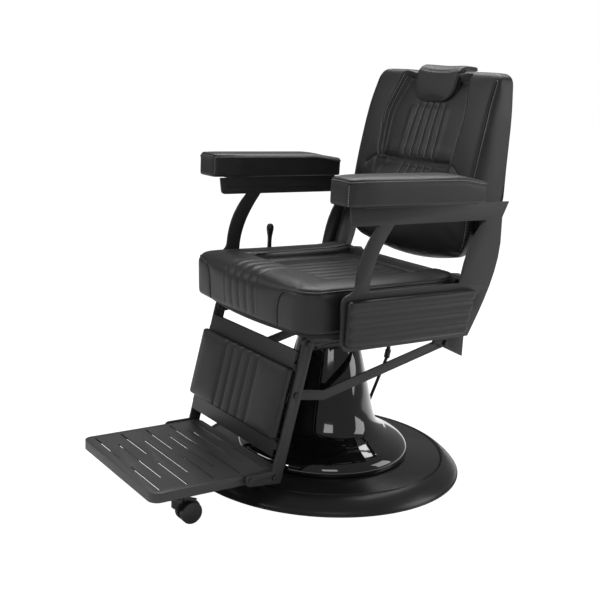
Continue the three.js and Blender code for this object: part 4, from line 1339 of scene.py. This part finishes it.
PAIRED = {
    "side_plate": (Finish.SIDE, 0.9), "arm_rail": (Finish.SIDE, 0.7), "recline_pin": (Finish.BOLT, 0.8),
    "back_arm": (Finish.FRAME, 0.9), "link_bolt": (Finish.BOLT, 0.6), "headrest_post": (Finish.CHROME, 0.8),
    "leg_bar": (Finish.SIDE, 0.8), "leg_pivot_bolt": (Finish.BOLT, 0.6), "link_screw": (Finish.BOLT, 0.6),
    "step_hinge_screw": (Finish.BOLT, 0.6), "leg_link": (Finish.SIDE, 0.8),
    "castor_mount": (Finish.STEP, 0.5), "castor_fork": (Finish.CASTOR, 0.9),
    "castor_wheels": (Finish.CASTOR, 1.2),
}
SINGLE = {
    "base_plate": (Finish.BASE, 0.6), "pump_cylinder": (Finish.STEEL, 0.6),
    "piston_bush": (Finish.BUSH, 0.5), "piston_rod": (Finish.CHROME, 0.5),
    "swivel_washer": (Finish.BUSH, 0.4), "swivel_head": (Finish.CAST, 0.9),
    "seat_chassis": (Finish.FRAME, 0.7), "seat_board": (Finish.BOARD, 0.8),
    "back_tie_tube": (Finish.FRAME, 0.7), "calf_panel": (Finish.FRAME, 0.7),
    "footplate": (Finish.STEP, 0.45), "recline_lever": (Finish.BOLT, 0.5),
    "recline_lever_bolt": (Finish.BOLT, 0.5),
    "pump_lever": (Finish.FRAME, 0.5), "pump_pedal_pad": (Finish.RUBBER, 0.8),
    "gas_spring_tube": (Finish.FRAME, 0.6), "gas_spring_rod": (Finish.CHROME, 0.4),
}
SIDES = {"left": 1, "right": -1}


@dataclass
class Knob:
    """The grip of the recline lever: a pear-shaped knob with a sleeve below it."""

    at: tuple[float, float] = (-265.0, -17.0)
    outline: tuple[tuple[float, float], ...] = (
        (0.4, 502), (5.4, 502), (5.8, 504), (5.6, 534), (6.2, 544), (8.2, 554), (9.6, 563), (9.4, 570),
        (7.6, 575), (4.2, 577.4), (0.4, 578),
    )

    def build(self) -> bpy.types.Object:
        """Turns the grip and moves it on to the lever."""
        curved = Bench.round_corners(self.outline, {index: 2.0 for index in range(4, 9)}, 4)
        piece = Bench.turned("recline_knob_look", curved, 40)
        piece.location = (self.at[0] * MM, self.at[1] * MM, 0)
        Bench.settle(piece)
        Bench.smooth(piece, 50)
        Bench.fit(piece, Finish.KNOB, "recline_knob")
        return piece


# ------------------------------------------------------------------ studio
LAMPS = (
    ("key", (-1.9, -2.9, 2.5), (1.5, 1.5), 24),
    ("side_soft", (2.1, 2.7, 1.4), (1.5, 2.0), 24),
    ("top", (-0.7, 0.9, 3.0), (2.6, 1.8), 84),
    ("fill", (3.1, -1.4, 1.7), (1.2, 1.2), 13),
    ("window", (0.5, -3.3, 1.5), (0.16, 0.34), 9),
)


@dataclass
class Studio:
    """A pale floor, soft lights and the camera."""

    distance: float = 2.46544
    azimuth: float = 55.161
    elevation: float = 12.682
    roll: float = 2.996
    lens: float = 60.63
    sensor: float = 36.0
    target: tuple[float, float, float] = (0.00162, -0.09356, 0.43273)

    def floor(self) -> None:
        """A wide pale floor."""
        Bench.clear()
        bpy.ops.mesh.primitive_plane_add(size=40, location=(0, 0, -0.0005))
        floor = bpy.context.object
        floor.name = "studio_floor"
        paint = Paint("studio_floor")
        cloud = paint.noise(2.0)
        white = paint.mix(cloud, (0.94, 0.94, 0.94), (0.95, 0.95, 0.95))
        floor.data.materials.append(paint.surface(Base_Color=white, Roughness=0.9 + cloud * 0.05))
        self.lift(paint)

    @staticmethod
    def lift(paint: Paint, share: float = 0.8, glow: float = 1.25) -> None:
        """Brightens the floor for the camera only, so that the light on the chair stays as it is."""
        seen = paint.node("ShaderNodeLightPath", {}, {}, "Is Camera Ray") * share
        bright = paint.node("ShaderNodeEmission", {}, {"Strength": glow})
        lit = Wire(paint, paint.shader.outputs[0])
        pick = paint.node("ShaderNodeMixShader", {}, {0: seen, 1: lit, 2: bright})
        paint.tree.links.new(pick.socket, paint.out.inputs["Surface"])

    @staticmethod
    def world(strength: float) -> None:
        """A surround that is white to the camera and lights the chair by strength."""
        world = bpy.data.worlds.new("studio_white")
        world.use_nodes = True
        graph = Graph(world.node_tree)
        graph.tree.nodes.remove(graph.tree.nodes["Background"])
        seen, felt = (
            graph.node("ShaderNodeBackground", {}, {"Color": (1, 1, 1, 1), "Strength": power})
            for power in (1.0, strength)
        )
        camera = graph.node("ShaderNodeLightPath", {}, {}, "Is Camera Ray")
        pick = graph.node("ShaderNodeMixShader", {}, {0: camera, 1: felt, 2: seen})
        graph.tree.links.new(pick.socket, graph.tree.nodes["World Output"].inputs["Surface"])
        bpy.context.scene.world = world

    @staticmethod
    def lamp(
        name: str, at: tuple[float, float, float], size: tuple[float, float], power: float,
        aim: tuple[float, float, float] = (0, 0, 0.5),
    ) -> None:
        """One soft rectangular light that faces aim."""
        light = bpy.data.lights.new(name, "AREA")
        light.shape = "RECTANGLE"
        light.size, light.size_y = size
        light.energy = power
        made = Bench.placed(name, light)
        made.location = at
        made.rotation_euler = (Vector(at) - Vector(aim)).to_track_quat("Z", "Y").to_euler()

    def camera(self) -> None:
        """The camera, turned a little about its own line of sight."""
        a, e, r = (math.radians(v) for v in (self.azimuth, self.elevation, self.roll))
        back = Vector((math.sin(a) * math.cos(e), -math.cos(a) * math.cos(e), math.sin(e)))
        right = (-back).cross(Vector((0, 0, 1))).normalized()
        up = right.cross(-back)
        turned_right = math.cos(r) * right + math.sin(r) * up
        turned_up = -math.sin(r) * right + math.cos(r) * up
        data = bpy.data.cameras.new("studio_camera")
        data.lens, data.sensor_width = self.lens, self.sensor
        made = Bench.placed("studio_camera", data)
        turn = Matrix((turned_right, turned_up, back)).transposed()
        made.matrix_world = Matrix.Translation(Vector(self.target) + back * self.distance) @ turn.to_4x4()
        bpy.context.scene.camera = made

    def build(self) -> None:
        """Sets the whole studio up."""
        self.floor()
        bpy.context.scene.view_settings.view_transform = "Standard"
        self.world(0.2)
        for lamp in LAMPS:
            self.lamp(*lamp)
        self.camera()


def main() -> None:
    """Builds the chair's looks and the studio."""
    logging.basicConfig(level=logging.INFO, format="%(message)s")
    bpy.ops.object.select_all(action="DESELECT")
    for piece in Pedestal().build():
        log.info("turned %s", piece.name)
    log.info("turned %s", Knob().build().name)
    parts = [(node, *look) for node, look in SINGLE.items()]
    parts += [(f"{node}_{label}", *look) for node, look in PAIRED.items() for label in SIDES]
    for node, finish, bevel in parts:
        piece = SteelPart(node, finish, bevel).build()
        log.info("eased %s, %d faces", piece.name, len(piece.data.polygons))
    pads: list[Pad] = [SeatPad(), BackPad(), BackBoardPad(), HeadrestPad(), CalfPad()]
    for label, side in SIDES.items():
        pads += [ArmPad.on(label, side), SidePad.on(label, side)]
    for pad in pads:
        piece = pad.build()
        log.info("upholstered %s, %d faces", piece.name, len(piece.data.polygons))
    Studio().build()


if __name__ == "__main__":
    main()
